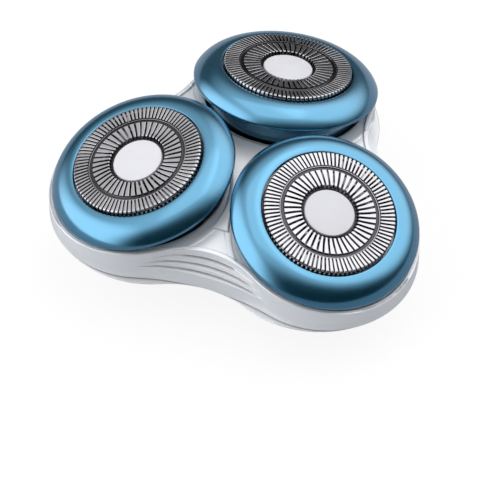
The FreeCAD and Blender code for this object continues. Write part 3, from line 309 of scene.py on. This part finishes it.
class Finish(Graph):
    """A material with one Principled shader."""

    def __init__(self, name, **constants):
        self.material = bpy.data.materials.new(name)
        self.material.use_nodes = True
        super().__init__(self.material.node_tree)
        self.shader = self.tree.nodes["Principled BSDF"]
        for key, number in constants.items():
            self.shader.inputs[key.replace("_", " ")].default_value = number
        self.place = self.node("ShaderNodeTexCoord").outputs["Object"]

    def noise(self, size, detail=3.0, place=None, rough=0.5):
        """Noise whose features are about that many millimetres."""
        node = self.node("ShaderNodeTexNoise", {
            "Vector": place or self.place, "Scale": 1 / (size * MM), "Detail": detail,
            "Roughness": rough})
        return Num(self, node.outputs["Fac"])

    def local(self, matrix):
        """Object coordinates in the frame of that matrix."""
        node = self.node("ShaderNodeMapping", {
            "Vector": self.place, "Location": matrix.translation,
            "Rotation": matrix.to_euler("XYZ")}, vector_type="TEXTURE")
        return node.outputs["Vector"]

    def polar(self, matrix):
        """Radius, angle and height about the Z axis of that matrix, in metres and radians."""
        parts = self.node("ShaderNodeSeparateXYZ", {0: self.local(matrix)})
        x, y, z = (Num(self, parts.outputs[index]) for index in range(3))
        return (x * x + y * y).op("SQRT"), y.op("ARCTAN2", x), z

    def vector(self, x, y, z):
        return self.node("ShaderNodeCombineXYZ", {0: x, 1: y, 2: z}).outputs[0]

    def colours(self, amount, first, second):
        """Colour between two as the amount goes from 0 to 1."""
        if not isinstance(first, bpy.types.NodeSocket):
            first = (*first, 1)
        node = self.node("ShaderNodeMix", {"Factor": amount, 6: first, 7: (*second, 1)},
                         data_type="RGBA")
        return node.outputs[2]

    def bump(self, height, size, edge=0.0):
        """Bump from a height, that many millimetres tall, over softened edges if asked."""
        node = self.node("ShaderNodeBump",
                         {"Strength": 1.0, "Distance": size * MM, "Height": height})
        if edge:
            bevel = self.node("ShaderNodeBevel", {"Radius": edge * MM}, samples=6)
            self.feed(node.inputs["Normal"], bevel.outputs[0])
        self.set("Normal", node.outputs[0])

    def set(self, name, item):
        self.feed(self.shader.inputs[name], item)


def satin_lacquer(name, dark, light, metallic, rough, coat=0.3, edge=0.0, flake=0.004):
    """Metallic lacquer, fine flakes under a coat, with slight unevenness."""
    finish = Finish(name, Coat_Weight=coat, Coat_Roughness=0.15, Coat_IOR=1.8, IOR=1.5,
                    Metallic=metallic)
    cloud = finish.noise(9, 3)
    grain = finish.noise(0.09, 2, rough=0.7)
    finish.set("Base Color", finish.colours(cloud * 0.5 + grain * 0.5, dark, light))
    finish.set("Roughness", finish.noise(2.5, 4).between(rough - 0.05, rough + 0.05))
    finish.bump(grain, flake, edge=edge)
    return finish.material


def moulded(name, dark, light, rough):
    """Moulded plastic with a faint spark-eroded grain."""
    finish = Finish(name, IOR=1.49)
    cloud = finish.noise(5, 4)
    grain = finish.noise(0.15, 3)
    finish.set("Base Color", finish.colours(cloud, dark, light))
    finish.set("Roughness", (cloud * 0.6 + grain * 0.4).between(rough - 0.07, rough + 0.07))
    finish.bump(grain, 0.006, edge=0.12)
    return finish.material


def turned_steel(name, matrix, dark, light, rough, low=0.0):
    """Steel with fine marks round its axis, with painted shade of strength low darkening the hollows
    below a cap's top.
    """
    finish = Finish(name, Metallic=1.0)
    radius, angle, height = finish.polar(matrix)
    marks = finish.noise(0.07, 2, finish.vector(radius, angle * (0.35 * MM), height))
    cloud = finish.noise(2.2, 4)
    plain = finish.colours(cloud * 0.6 + marks * 0.4, dark, light)
    # Painted shade: the colour darkens in the slots, valley and recess below the cap's top, on top of
    # the real shadow.
    inside = height.step(-0.12 * MM, -0.3 * MM) * radius.step(10.9 * MM, 10.7 * MM)
    hollow = inside.op("MAXIMUM", height.step(-0.5 * MM, -1.0 * MM) * 0.5)
    finish.set("Base Color", finish.colours(hollow * low, plain, (0.06, 0.058, 0.062)))
    finish.set("Roughness", (cloud * 0.5 + marks * 0.5).between(rough - 0.08, rough + 0.1))
    finish.bump(marks, 0.0025)
    return finish.material


def sheet_plastic(name, matrix, dark, light):
    """Light plain plastic of the discs, matt with the odd fine scuff."""
    finish = Finish(name, IOR=1.49, Coat_Weight=0.15, Coat_Roughness=0.3)
    radius, _, _ = finish.polar(matrix)
    cloud = finish.noise(3, 4)
    scuff = finish.noise(0.5, 5, rough=0.8).step(0.62, 0.72)
    rim = radius.step(4.2 * MM, 4.6 * MM)
    plain = finish.colours(cloud, dark, light)
    finish.set("Base Color", finish.colours(rim * 0.35, plain, (0.5, 0.51, 0.54)))
    finish.set("Roughness", (cloud * 0.7 + scuff * 0.3).between(0.3, 0.5))
    finish.bump(finish.noise(0.12, 3), 0.004)
    return finish.material


# Meshes.

def head_direction(head):
    """Direction of a head from the axis, in radians."""
    return settings("heads").first + 2 * math.pi / len(HEADS) * (head - 1)


def head_matrix(head):
    """Frame of a head, with the middle of its cap's top at the origin, in metres."""
    heads = settings("heads")
    place = Matrix.Translation((heads.orbit * MM, 0, heads.height * MM))
    lean = Matrix.Rotation(heads.lean, 4, "Y")
    return Matrix.Rotation(head_direction(head), 4, "Z") @ place @ lean


def filleted(path):
    """Points of a section, with each corner that has a third number rounded to that radius."""
    points = []
    for index, corner in enumerate(path):
        here = Vector(corner[:2])
        if len(corner) < 3:
            points.append(tuple(here))
            continue
        before = (Vector(path[index - 1][:2]) - here).normalized()
        after = (Vector(path[(index + 1) % len(path)][:2]) - here).normalized()
        half = before.angle(after) / 2
        reach = corner[2] / math.tan(half)
        centre = here + (before + after).normalized() * (corner[2] / math.sin(half))
        first = here + before * reach - centre
        sweep = (here + after * reach - centre).angle_signed(first)
        steps = max(2, int(abs(sweep) / 0.3))
        for step in range(steps + 1):
            turned = first.copy()
            turned.rotate(Matrix.Rotation(sweep * step / steps, 2))
            points.append(tuple(centre + turned))
    return points


def arc(start, end, radius, steps):
    """Points between two ends of an arc that bulges to the right of the way, ends left out."""
    first, last = Vector(start), Vector(end)
    chord = last - first
    left = Vector((-chord.y, chord.x)).normalized()
    centre = (first + last) / 2 + left * math.sqrt(radius ** 2 - (chord.length / 2) ** 2)
    sweep = 2 * math.asin(chord.length / 2 / radius)
    points = []
    for step in range(1, steps):
        turned = first - centre
        turned.rotate(Matrix.Rotation(sweep * step / steps, 2))
        points.append(tuple(centre + turned))
    return points


def smoothed(mesh, sharp):
    """That mesh, smooth but for the edges that bend by more than so many degrees."""
    mesh.shade_smooth()
    mesh.set_sharp_from_angle(angle=math.radians(sharp))
    return mesh


def new_mesh(name, points, faces, matrix=Matrix.Identity(4), sharp=40):
    """Smooth mesh from millimetre points, put in place."""
    mesh = bpy.data.meshes.new(name)
    mesh.from_pydata([Vector(point) * MM for point in points], [], faces)
    mesh.transform(matrix)
    mesh.validate()
    return smoothed(mesh, sharp)


def skin(rows):
    """Faces between closed rows of point numbers, each row joined to the one after it."""
    faces = []
    for low, high in zip(rows, rows[1:]):
        for step in range(len(low)):
            after = (step + 1) % len(low)
            face = [low[step], low[after], high[after], high[step]]
            face = [item for place, item in enumerate(face) if item != face[place - 1]]
            if len(face) > 2:
                faces.append(face)
    return faces


def lathe(name, path, matrix, steps):
    """Solid from a closed anticlockwise section of radius and height, turned about Z."""
    points, rows = [], []
    for radius, height in path:
        if radius < 1e-6:
            rows.append([len(points)] * steps)
            points.append((0, 0, height))
            continue
        rows.append(list(range(len(points), len(points) + steps)))
        for step in range(steps):
            turn = 2 * math.pi * step / steps
            points.append((radius * math.cos(turn), radius * math.sin(turn), height))
    return new_mesh(name, points, skin(rows + rows[:1]), matrix)


def bar(stations, count, slot, lean, bevel, wall):
    """One bar between two slots: a section with worn edges carried along its stations."""
    first, last = stations[0][0], max(station[0] for station in stations)
    points, rows = [], []
    for radius, height, out, up in stations:
        middle = lean * (radius - first) / (last - first)
        half = math.pi * radius / count - slot / 2
        section = [(-half, wall), (half, wall), (half, bevel), (half - bevel, 0),
                   (bevel - half, 0), (-half, bevel)]
        rows.append(list(range(len(points), len(points) + len(section))))
        for across, depth in section:
            turn = middle + across / radius
            reach = radius - depth * out
            points.append((reach * math.cos(turn), reach * math.sin(turn), height - depth * up))
    faces = skin(rows) + [rows[0][::-1], rows[-1]]
    return points, [face[::-1] for face in faces]


def ring_tree():
    """Geometry nodes that repeat the incoming mesh evenly about Z and give it a material."""
    tree = bpy.data.node_groups.new("even_ring", "GeometryNodeTree")
    sockets = tree.interface
    sockets.new_socket("Geometry", in_out="OUTPUT", socket_type="NodeSocketGeometry")
    sockets.new_socket("Geometry", in_out="INPUT", socket_type="NodeSocketGeometry")
    sockets.new_socket("Count", in_out="INPUT", socket_type="NodeSocketInt")
    sockets.new_socket("Material", in_out="INPUT", socket_type="NodeSocketMaterial")
    graph = Graph(tree)
    entry = graph.node("NodeGroupInput").outputs
    points = graph.node("GeometryNodePoints", {"Count": entry["Count"]})
    share_of_turn = graph.node("ShaderNodeMath", {0: 2 * math.pi, 1: entry["Count"]},
                               operation="DIVIDE")
    turn = Num(graph, graph.node("GeometryNodeInputIndex").outputs[0]) * share_of_turn.outputs[0]
    angles = graph.node("ShaderNodeCombineXYZ", {"Z": turn})
    copies = graph.node("GeometryNodeInstanceOnPoints", {
        "Points": points.outputs[0], "Instance": entry["Geometry"],
        "Rotation": angles.outputs[0]})
    real = graph.node("GeometryNodeRealizeInstances", {0: copies.outputs[0]})
    paint = graph.node("GeometryNodeSetMaterial", {0: real.outputs[0],
                                                   "Material": entry["Material"]})
    graph.node("NodeGroupOutput", {0: paint.outputs[0]})
    return tree


def repeated(name, points, faces, count, material):
    """Plain mesh of that many copies about Z, still in its own frame."""
    carrier = bpy.data.objects.new(name, new_mesh(name, points, faces, sharp=30))
    bpy.context.scene.collection.objects.link(carrier)
    modifier = carrier.modifiers.new("ring", "NODES")
    modifier.node_group = ring_tree()
    values = {"Count": count, "Material": material}
    for socket in modifier.node_group.interface.items_tree:
        if socket.name in values:
            modifier[socket.identifier] = values[socket.name]
    evaluated = carrier.evaluated_get(bpy.context.evaluated_depsgraph_get())
    mesh = bpy.data.meshes.new_from_object(evaluated)
    bpy.data.objects.remove(carrier)
    return mesh


def joined(name, meshes):
    """One mesh out of several, with their faces in that order."""
    whole = bmesh.new()
    for mesh in meshes:
        whole.from_mesh(mesh)
    made = bpy.data.meshes.new(name)
    whole.to_mesh(made)
    whole.free()
    return made


def merged(node):
    """Copy of a plain node's mesh with its loose triangles joined, and its corners' normals."""
    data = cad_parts[node].data
    work = bmesh.new()
    work.from_mesh(data)
    origin = work.faces.layers.int.new("origin")
    for face in work.faces:
        face[origin] = face.index
    bmesh.ops.remove_doubles(work, verts=work.verts, dist=MERGE)
    normals = []
    for face in work.faces:
        corners = data.polygons[face[origin]].loop_indices
        for vertex in face.verts:
            nearest = min(corners, key=lambda corner: (
                data.vertices[data.loops[corner].vertex_index].co - vertex.co).length_squared)
            normals.append(tuple(data.corner_normals[nearest].vector))
    mesh = bpy.data.meshes.new(node)
    work.to_mesh(mesh)
    work.free()
    return mesh, normals


def add_piece(name, mesh, material, body, slot, *replaced):
    """Put a piece in the scene, riding on its body and standing for its plain nodes."""
    mesh.materials.clear()
    mesh.materials.append(material)
    piece = bpy.data.objects.new(name, mesh)
    bpy.context.scene.collection.objects.link(piece)
    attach(piece, body)
    if replaced:
        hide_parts(*replaced)
    return piece


def dress(material, *nodes):
    """Give plain nodes of the frame a finish."""
    for name in nodes:
        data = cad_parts[name].data
        data.materials.clear()
        data.materials.append(material)


# Operators, one for each kind of piece.

class SHAVER_OT_caps(bpy.types.Operator):
    """Steel caps with two tracks of leaning bars"""
    bl_idname = "shaver.caps"
    bl_label = "Caps"
    bl_options = {"REGISTER", "UNDO"}

    def execute(self, context):
        cap, finish = settings("cap"), settings("finish")
        for head in HEADS:
            place = head_matrix(head)
            # low=1.0 paints the full shade into the hollows of each cap's steel.
            steel = turned_steel(f"cap_steel_{head}", place, finish.cap_dark, finish.cap_light,
                                 0.2, low=1.0)
            parts = self.shells(cap) + self.tracks(cap, steel)
            mesh = joined(f"cap_{head}", parts)
            mesh.transform(place)
            add_piece(f"slotted_cap_{head}", smoothed(mesh, 35), steel, f"head_{head}",
                      "cap_steel", f"shaving_cap_{head}")
        return {"FINISHED"}

    def shells(self, cap):
        """Recess, valley band and side wall of the cap."""
        inner, foot = cap.radius - cap.wall, cap.wall - cap.depth
        under = -cap.recess - cap.wall
        pan = [(0, under), (5.1, under), (5.1, -0.8), (4.83, -0.8, 0.05),
               (4.75, -cap.recess, 0.05), (0, -cap.recess)]
        valley = [(8.05, -0.75), (9.2, -0.75), (9.2, -0.31), (9.04, -0.33), (8.97, -0.2, 0.03),
                  (8.83, -0.2, 0.03), (8.76, -0.45, 0.04), (8.32, -0.45, 0.05), (8.2, -0.34),
                  (8.05, -0.34)]
        side = [(inner, -cap.depth), (cap.flange, -cap.depth, 0.05), (cap.flange, foot, 0.05),
                (cap.radius, foot, 0.1), (cap.radius, -cap.side), (inner, -cap.side)]
        own = Matrix.Identity(4)
        return [lathe("shell", filleted(path), own, 192) for path in (pan, valley, side)]

    def tracks(self, cap, steel):
        """The two rings of bars, from stations of radius, height and outward direction."""
        inner = [(4.84, -0.86, -0.9, 0.4), (5.02, -0.4, -0.9, 0.4), (5.12, -0.12, -0.7, 0.7)]
        inner += [(cap.inner_start + (cap.inner_end - cap.inner_start) * step / 3,
                   -cap.inner_drop, 0, 1) for step in range(4)]
        bend = cap.radius - cap.edge
        outer = [(cap.outer_start + (bend - cap.outer_start) * step / 4, 0, 0, 1)
                 for step in range(5)]
        for step in range(1, 5):
            turn = math.pi / 2 * step / 4
            outer.append((bend + cap.edge * math.sin(turn), cap.edge * (math.cos(turn) - 1),
                          math.sin(turn), math.cos(turn)))
        outer.append((cap.radius, -cap.side - 0.05, 1, 0))
        made = []
        for name, stations, count, slot, lean in (
                ("outer", outer, cap.slots, cap.outer_slot, cap.outer_lean),
                ("inner", inner, cap.slots // 2, cap.inner_slot, cap.inner_lean)):
            points, faces = bar(stations, count, slot, lean, cap.bevel, cap.wall)
            made.append(repeated(name, points, faces, count, steel))
        return made


class SHAVER_OT_discs(bpy.types.Operator):
    """Plain discs in the caps"""
    bl_idname = "shaver.discs"
    bl_label = "Discs"
    bl_options = {"REGISTER", "UNDO"}

    def execute(self, context):
        cap, finish = settings("cap"), settings("finish")
        path = [(0, -cap.recess), (cap.disc, -cap.recess),
                (cap.disc, -cap.disc_top, cap.disc_edge), (0, -cap.disc_top)]
        for head in HEADS:
            place = head_matrix(head)
            mesh = lathe(f"disc_{head}", filleted(path), place, 160)
            plastic = sheet_plastic(f"disc_plastic_{head}", place, finish.disc_dark,
                                    finish.disc_light)
            add_piece(f"plain_disc_{head}", mesh, plastic, f"head_{head}", "disc_grey",
                      f"cap_disc_{head}")
        return {"FINISHED"}


class SHAVER_OT_rings(bpy.types.Operator):
    """Domed blue rings"""
    bl_idname = "shaver.rings"
    bl_label = "Rings"
    bl_options = {"REGISTER", "UNDO"}

    def execute(self, context):
        ring, finish = settings("ring"), settings("finish")
        lacquer = satin_lacquer("ring_lacquer", finish.ring_dark, finish.ring_light, 0.9, 0.2,
                                coat=1.0, flake=0.0015)
        low, high = (ring.radius, -ring.rim), (ring.bore + ring.flat, -ring.inner_edge)
        bore, groove = ring.skirt_bore, ring.groove
        path = filleted([(ring.skirt, -ring.under), (16.3, -ring.under),
                         (ring.radius - ring.turn_in, -ring.under - 0.15, 0.05),
                         (ring.radius, -ring.rim - 0.4, 0.12), low])
        path += arc(low, high, ring.crown, 24)
        path += filleted([high, (ring.bore + 0.08, -ring.inner_edge - 0.05, 0.08),
                          (ring.bore, -ring.inner_edge - 0.25, 0.05), (ring.bore, -ring.shelf)])
        path += [(bore, -ring.shelf), (bore, -ring.groove_top), (groove, -ring.groove_top),
                 (groove, -ring.groove_end), (bore, -ring.groove_end), (bore, -ring.skirt_end),
                 (ring.skirt, -ring.skirt_end)]
        for head in HEADS:
            mesh = lathe(f"ring_{head}", path, head_matrix(head), ring.steps)
            add_piece(f"domed_ring_{head}", mesh, lacquer, f"head_{head}", "ring_blue",
                      f"skin_ring_{head}")
        return {"FINISHED"}


class SHAVER_OT_holder(bpy.types.Operator):
    """Holder with its deck and lip closed round the bowls"""
    bl_idname = "shaver.holder"
    bl_label = "Holder"
    bl_options = {"REGISTER", "UNDO"}

    def execute(self, context):
        holder, finish = settings("holder"), settings("finish")
        self.heads = settings("heads")
        self.directions = {head: head_direction(head) for head in HEADS}
        silver = satin_lacquer("silver_lacquer", finish.silver_dark, finish.silver_light, 0.35,
                               0.36, coat=0.25, edge=0.25)
        plain, normals = self.lowered(holder)
        collars = [self.collar(holder, head) for head in HEADS]
        mesh = smoothed(joined("holder", [plain] + collars), 32)
        normals += [(0, 0, 0)] * (len(mesh.loops) - len(normals))
        mesh.normals_split_custom_set(normals)
        add_piece("trefoil_holder", mesh, silver, "holder", "holder_silver", "holder_frame")
        dress(silver, "centre_plate", "base_shell")
        return {"FINISHED"}

    def plane(self, x, y, depth):
        """Height of the lowest of the three leaning planes, that deep below the caps' tops."""
        heads = self.heads
        heights = []
        for head in HEADS:
            turn = self.directions[head]
            reach = x * math.cos(turn) + y * math.sin(turn) - heads.orbit
            drop = (depth + reach * math.sin(heads.lean)) / math.cos(heads.lean)
            heights.append(heads.height - drop)
        return min(heights)

    def top(self, holder, x, y, lip):
        """Height of the deck at a place where lip is 0, or of the lip's top where it is 1."""
        dome = holder.crown + lip * holder.lip - (x * x + y * y) / (2 * holder.dome)
        slope = self.plane(x, y, holder.under + (1 - lip) * holder.deck_step)
        near = max(0.0, 1 - abs(dome - slope) / holder.bend)
        return min(dome, slope) - holder.sag * near ** 2

    def lowered(self, holder):
        """Merged copy of the plain holder, its outer lips taken down, and its corners' normals."""
        mesh, normals = merged("holder_frame")
        for vertex in mesh.vertices:
            x, y, z = vertex.co / MM
            limit = self.top(holder, x, y, 1.0)
            if z > limit and math.hypot(x, y) > holder.outside:
                vertex.co.z = limit * MM
        return mesh, normals

    def edge(self, holder, turn):
        """Way from a lobe's middle to the holder's outline, by the angle from straight out."""
        spread = math.sqrt((holder.lobe + holder.waist) ** 2 - 0.75 * holder.orbit ** 2)
        reach = holder.orbit / 2 + spread
        hollow = Vector((reach / 2 - holder.orbit, reach * math.sqrt(0.75)))
        touch = math.atan2(hollow.y, hollow.x)
        turn = abs(turn)
        if turn <= touch:
            return holder.lobe
        along = hollow.x * math.cos(turn) + hollow.y * math.sin(turn)
        inside = along ** 2 - hollow.length_squared + holder.waist ** 2
        return along - math.sqrt(inside) if inside > 0 and along > 0 else 1e3

    def collar(self, holder, head, steps=240):
        """Deck and lip round one well, from the ball of the well to the plain holder."""
        points, rows = [], []
        for step in range(steps):
            section = self.section(holder, head, 2 * math.pi * step / steps - math.pi)
            rows.append(list(range(len(points), len(points) + len(section))))
            points += section
        return new_mesh(f"collar_{head}", points, skin(rows + rows[:1]))

    def section(self, holder, head, turn):
        """Points of a collar at an angle from the lobe's outward line, from its well outwards."""
        heads, out = self.heads, self.directions[head]
        middle = Vector((math.cos(out), math.sin(out))) * holder.orbit
        way = Vector((math.cos(out + turn), math.sin(out + turn)))
        shift = heads.orbit - heads.pivot * math.sin(heads.lean) - holder.orbit
        pivot = heads.height - heads.pivot * math.cos(heads.lean)

        def ball(height):
            """Radius of the well's ball from the lobe's middle at a height."""
            across = holder.seat ** 2 - (height - pivot) ** 2 - (shift * math.sin(turn)) ** 2
            return shift * math.cos(turn) + math.sqrt(across)

        def deck(radius, lip=0.0):
            """Height of the deck, or of the lip's top, at a radius from the lobe's middle."""
            place = middle + way * radius
            return self.top(holder, place.x, place.y, lip)

        far, aside = holder.reach, math.sin(abs(turn) - math.pi / 3)
        if aside > 0:
            far = min(far, holder.orbit * math.sin(math.pi / 3) / aside)
        line = self.edge(holder, turn)
        end = min(line - 0.01, far)
        lip_start = min(line - holder.lip_width - 0.1, far - 0.05)
        start = ball(deck(holder.seat - 0.4))
        well_edge = start + holder.shoulder
        section = []
        for part in range(6):
            radius = well_edge + (lip_start - well_edge) * part / 5
            section.append((radius, deck(radius)))
        has_lip = line - holder.lip_width < far - 0.3
        for across, share in LIP:
            radius = min(lip_start + across, end)
            section.append((radius, deck(radius, share) if has_lip else deck(radius) - 0.02))
        section += [(end, holder.foot), (ball(holder.foot), holder.foot)]
        top = deck(start) - holder.shoulder
        for part in range(1, 6):
            height = holder.foot + (top - holder.foot) * part / 5
            section.append((ball(height), height))
        return [(*(middle + way * radius), height) for radius, height in section]


class SHAVER_OT_springs(bpy.types.Operator):
    """Smooth copies of the plain coil springs, each riding on its outer gear"""
    bl_idname = "shaver.springs"
    bl_label = "Springs"
    bl_options = {"REGISTER", "UNDO"}

    def execute(self, context):
        for head in HEADS:
            node = f"spindle_spring_{head}"
            low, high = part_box(node)
            mesh, _ = merged(node)
            steel = turned_steel(f"spring_steel_{head}", Matrix.Translation((low + high) / 2),
                                 (0.5, 0.5, 0.51), (0.66, 0.66, 0.67), 0.3)
            piece = add_piece(f"coil_spring_{head}", smoothed(mesh, 35), steel,
                              f"outer_gear_{head}", "spring_steel", node)
            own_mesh(piece)
        return {"FINISHED"}


class SHAVER_OT_finishes(bpy.types.Operator):
    """Finishes of the frame's own pieces"""
    bl_idname = "shaver.finishes"
    bl_label = "Finishes"
    bl_options = {"REGISTER", "UNDO"}

    def execute(self, context):
        finish = settings("finish")
        black = moulded("inner_black", finish.black_dark, finish.black_light, 0.42)
        white = moulded("gear_plastic", finish.gear_dark, finish.gear_light, 0.4)
        # Bowl lacquer: a darker copy of the rings' blue, with painted shade standing in for the
        # shadow under the rings.
        dark = satin_lacquer("bowl_shaded_lacquer", finish.bowl_dark, finish.bowl_shaded_light, 0.8, 0.25,
                             coat=0.6, edge=0.1, flake=0.001)
        dress(black, "gear_cover")
        dress(white, "sun_gear")
        for head in HEADS:
            place = head_matrix(head)
            steel = turned_steel(f"cutter_steel_{head}", place, (0.3, 0.3, 0.31),
                                 (0.5, 0.5, 0.52), 0.3)
            dress(steel, f"cutter_{head}")
            dress(white, f"pinion_{head}", f"spindle_{head}", f"cutter_hub_{head}")
            dress(black, f"retaining_ring_{head}")
            dress(dark, f"head_bowl_{head}")
        return {"FINISHED"}


class SHAVER_OT_stage(bpy.types.Operator):
    """Floor, light, background and camera"""
    bl_idname = "shaver.stage"
    bl_label = "Stage"
    bl_options = {"REGISTER", "UNDO"}

    def execute(self, context):
        scene, stage = context.scene, settings("stage")
        self.floor(stage)
        self.world(scene, stage)
        self.overhead(stage)
        self.camera(scene, stage)
        scene.view_settings.view_transform = "Standard"
        return {"FINISHED"}

    def floor(self, stage):
        """Pale floor, nearly white to the camera apart from the shadow, and darker in reflections."""
        finish = Finish("floor", IOR=1.4)
        path = finish.node("ShaderNodeLightPath")
        pale = finish.colours(finish.noise(30, 3), (0.93, 0.93, 0.93), (0.96, 0.96, 0.96))
        mirrored = Num(finish, path.outputs["Is Glossy Ray"]) * stage.mirrored
        finish.set("Base Color", finish.colours(mirrored, pale, (0.12, 0.15, 0.2)))
        finish.set("Roughness", finish.noise(4, 4).between(0.55, 0.7))
        seen = Num(finish, path.outputs["Is Camera Ray"])
        glow = finish.node("ShaderNodeEmission")
        mixed = finish.node("ShaderNodeMixShader", {
            0: seen * stage.shown, 1: finish.shader.outputs[0], 2: glow.outputs[0]})
        finish.feed(finish.tree.nodes["Material Output"].inputs[0], mixed.outputs[0])
        half = FLOOR_HALF
        corners = [(-half, -half, 0), (half, -half, 0), (half, half, 0), (-half, half, 0)]
        mesh = new_mesh("floor", corners, [[0, 1, 2, 3]])
        mesh.materials.append(finish.material)
        piece = bpy.data.objects.new("floor", mesh)
        bpy.context.scene.collection.objects.link(piece)

    def world(self, scene, stage):
        """White to the camera, and to all else a soft room that is dark behind the camera."""
        world = bpy.data.worlds.new("studio")
        scene.world = world
        world.use_nodes = True
        graph = Graph(world.node_tree)
        graph.tree.nodes.clear()
        ray = graph.node("ShaderNodeTexCoord").outputs["Generated"]
        turn = stage.azimuth
        right = Vector((math.cos(turn), math.sin(turn), 0))
        near = Vector((math.sin(turn), -math.cos(turn), 0))
        above = graph.along(ray, (0, 0, 1)).step(0.28, 0.92)
        left = graph.along(ray, near * 0.25 - right + Vector((0, 0, 0.25))).step(0.5, 0.9)
        side = graph.along(ray, right * 0.7 - near * 0.5 + Vector((0, 0, 1))).step(0.6, 0.98)
        behind = graph.along(ray, near + right * 0.25 + Vector((0, 0, 0.2))).step(0.3, 0.85)
        glow = (above * 1.3).op("MAXIMUM", left * 2.4).op("MAXIMUM", side * 2.0)
        shade = behind.between(1.0, 0.05)
        path = graph.node("ShaderNodeLightPath").outputs["Is Camera Ray"]
        room = graph.node("ShaderNodeBackground", {
            "Color": (0.97, 0.98, 1, 1), "Strength": (glow + 0.08) * shade * stage.room})
        white = graph.node("ShaderNodeBackground", {"Color": (1, 1, 1, 1)})
        mixed = graph.node("ShaderNodeMixShader", {0: path, 1: room.outputs[0],
                                                   2: white.outputs[0]})
        graph.node("ShaderNodeOutputWorld", {0: mixed.outputs[0]})

    def overhead(self, stage):
        """Soft square light above, facing the object."""
        data = bpy.data.lights.new("overhead", "AREA")
        data.shape, data.size, data.energy = "SQUARE", LAMP_SIDE, stage.key
        lamp = bpy.data.objects.new("overhead", data)
        lamp.location = LAMP_PLACE
        towards = Vector(LAMP_TARGET) - lamp.location
        lamp.rotation_euler = towards.to_track_quat("-Z", "Y").to_euler()
        bpy.context.scene.collection.objects.link(lamp)

    def camera(self, scene, stage):
        """Camera where the photograph was taken, turned so that its frame needs no shift."""
        turn, rise, roll = stage.azimuth, stage.elevation, stage.roll
        back = Vector((math.sin(turn) * math.cos(rise), -math.cos(turn) * math.cos(rise),
                       math.sin(rise)))
        level = Vector((math.cos(turn), math.sin(turn), 0))
        upright = back.cross(level)
        right = level * math.cos(roll) + upright * math.sin(roll)
        up = upright * math.cos(roll) - level * math.sin(roll)
        ahead = (-back + right * ((PICTURE / 2 - stage.aim_x) / stage.focal)
                 - up * ((PICTURE / 2 - stage.aim_y) / stage.focal)).normalized()
        up = (up - ahead * up.dot(ahead)).normalized()
        matrix = Matrix((ahead.cross(up), up, -ahead)).transposed().to_4x4()
        height = settings("heads").height
        matrix.translation = (Vector((0, 0, height)) + back * stage.distance) * MM
        data = bpy.data.cameras.new("camera")
        data.lens, data.sensor_width = stage.focal * SENSOR / PICTURE, SENSOR
        data.clip_start, data.clip_end = 0.02, 10
        camera = bpy.data.objects.new("camera", data)
        camera.matrix_world = matrix
        scene.collection.objects.link(camera)
        scene.camera = camera


class SHAVER_PT_panel(bpy.types.Panel):
    """Sidebar panel with the settings and the operators in their order"""
    bl_label = "Shaver head"
    bl_idname = "SHAVER_PT_panel"
    bl_space_type = "VIEW_3D"
    bl_region_type = "UI"
    bl_category = "Shaver head"

    def draw(self, context):
        for name, kind in SETTINGS.items():
            box = self.layout.box()
            for field in kind.__annotations__:
                box.prop(getattr(context.scene, name), field)
        for maker in MAKERS:
            self.layout.operator(maker.bl_idname)


MAKERS = (SHAVER_OT_caps, SHAVER_OT_discs, SHAVER_OT_rings, SHAVER_OT_holder,
          SHAVER_OT_springs, SHAVER_OT_finishes, SHAVER_OT_stage)
CLASSES = tuple(SETTINGS.values()) + MAKERS + (SHAVER_PT_panel,)


def register():
    for kind in CLASSES:
        bpy.utils.register_class(kind)
    for name, kind in SETTINGS.items():
        setattr(bpy.types.Scene, name, PointerProperty(type=kind))


def unregister():
    for name in SETTINGS:
        delattr(bpy.types.Scene, name)
    for kind in reversed(CLASSES):
        bpy.utils.unregister_class(kind)


def main():
    """Register, then make everything in order."""
    register()
    for maker in MAKERS:
        group, name = maker.bl_idname.split(".")
        getattr(getattr(bpy.ops, group), name)()


if __name__ == "__main__":
    main()
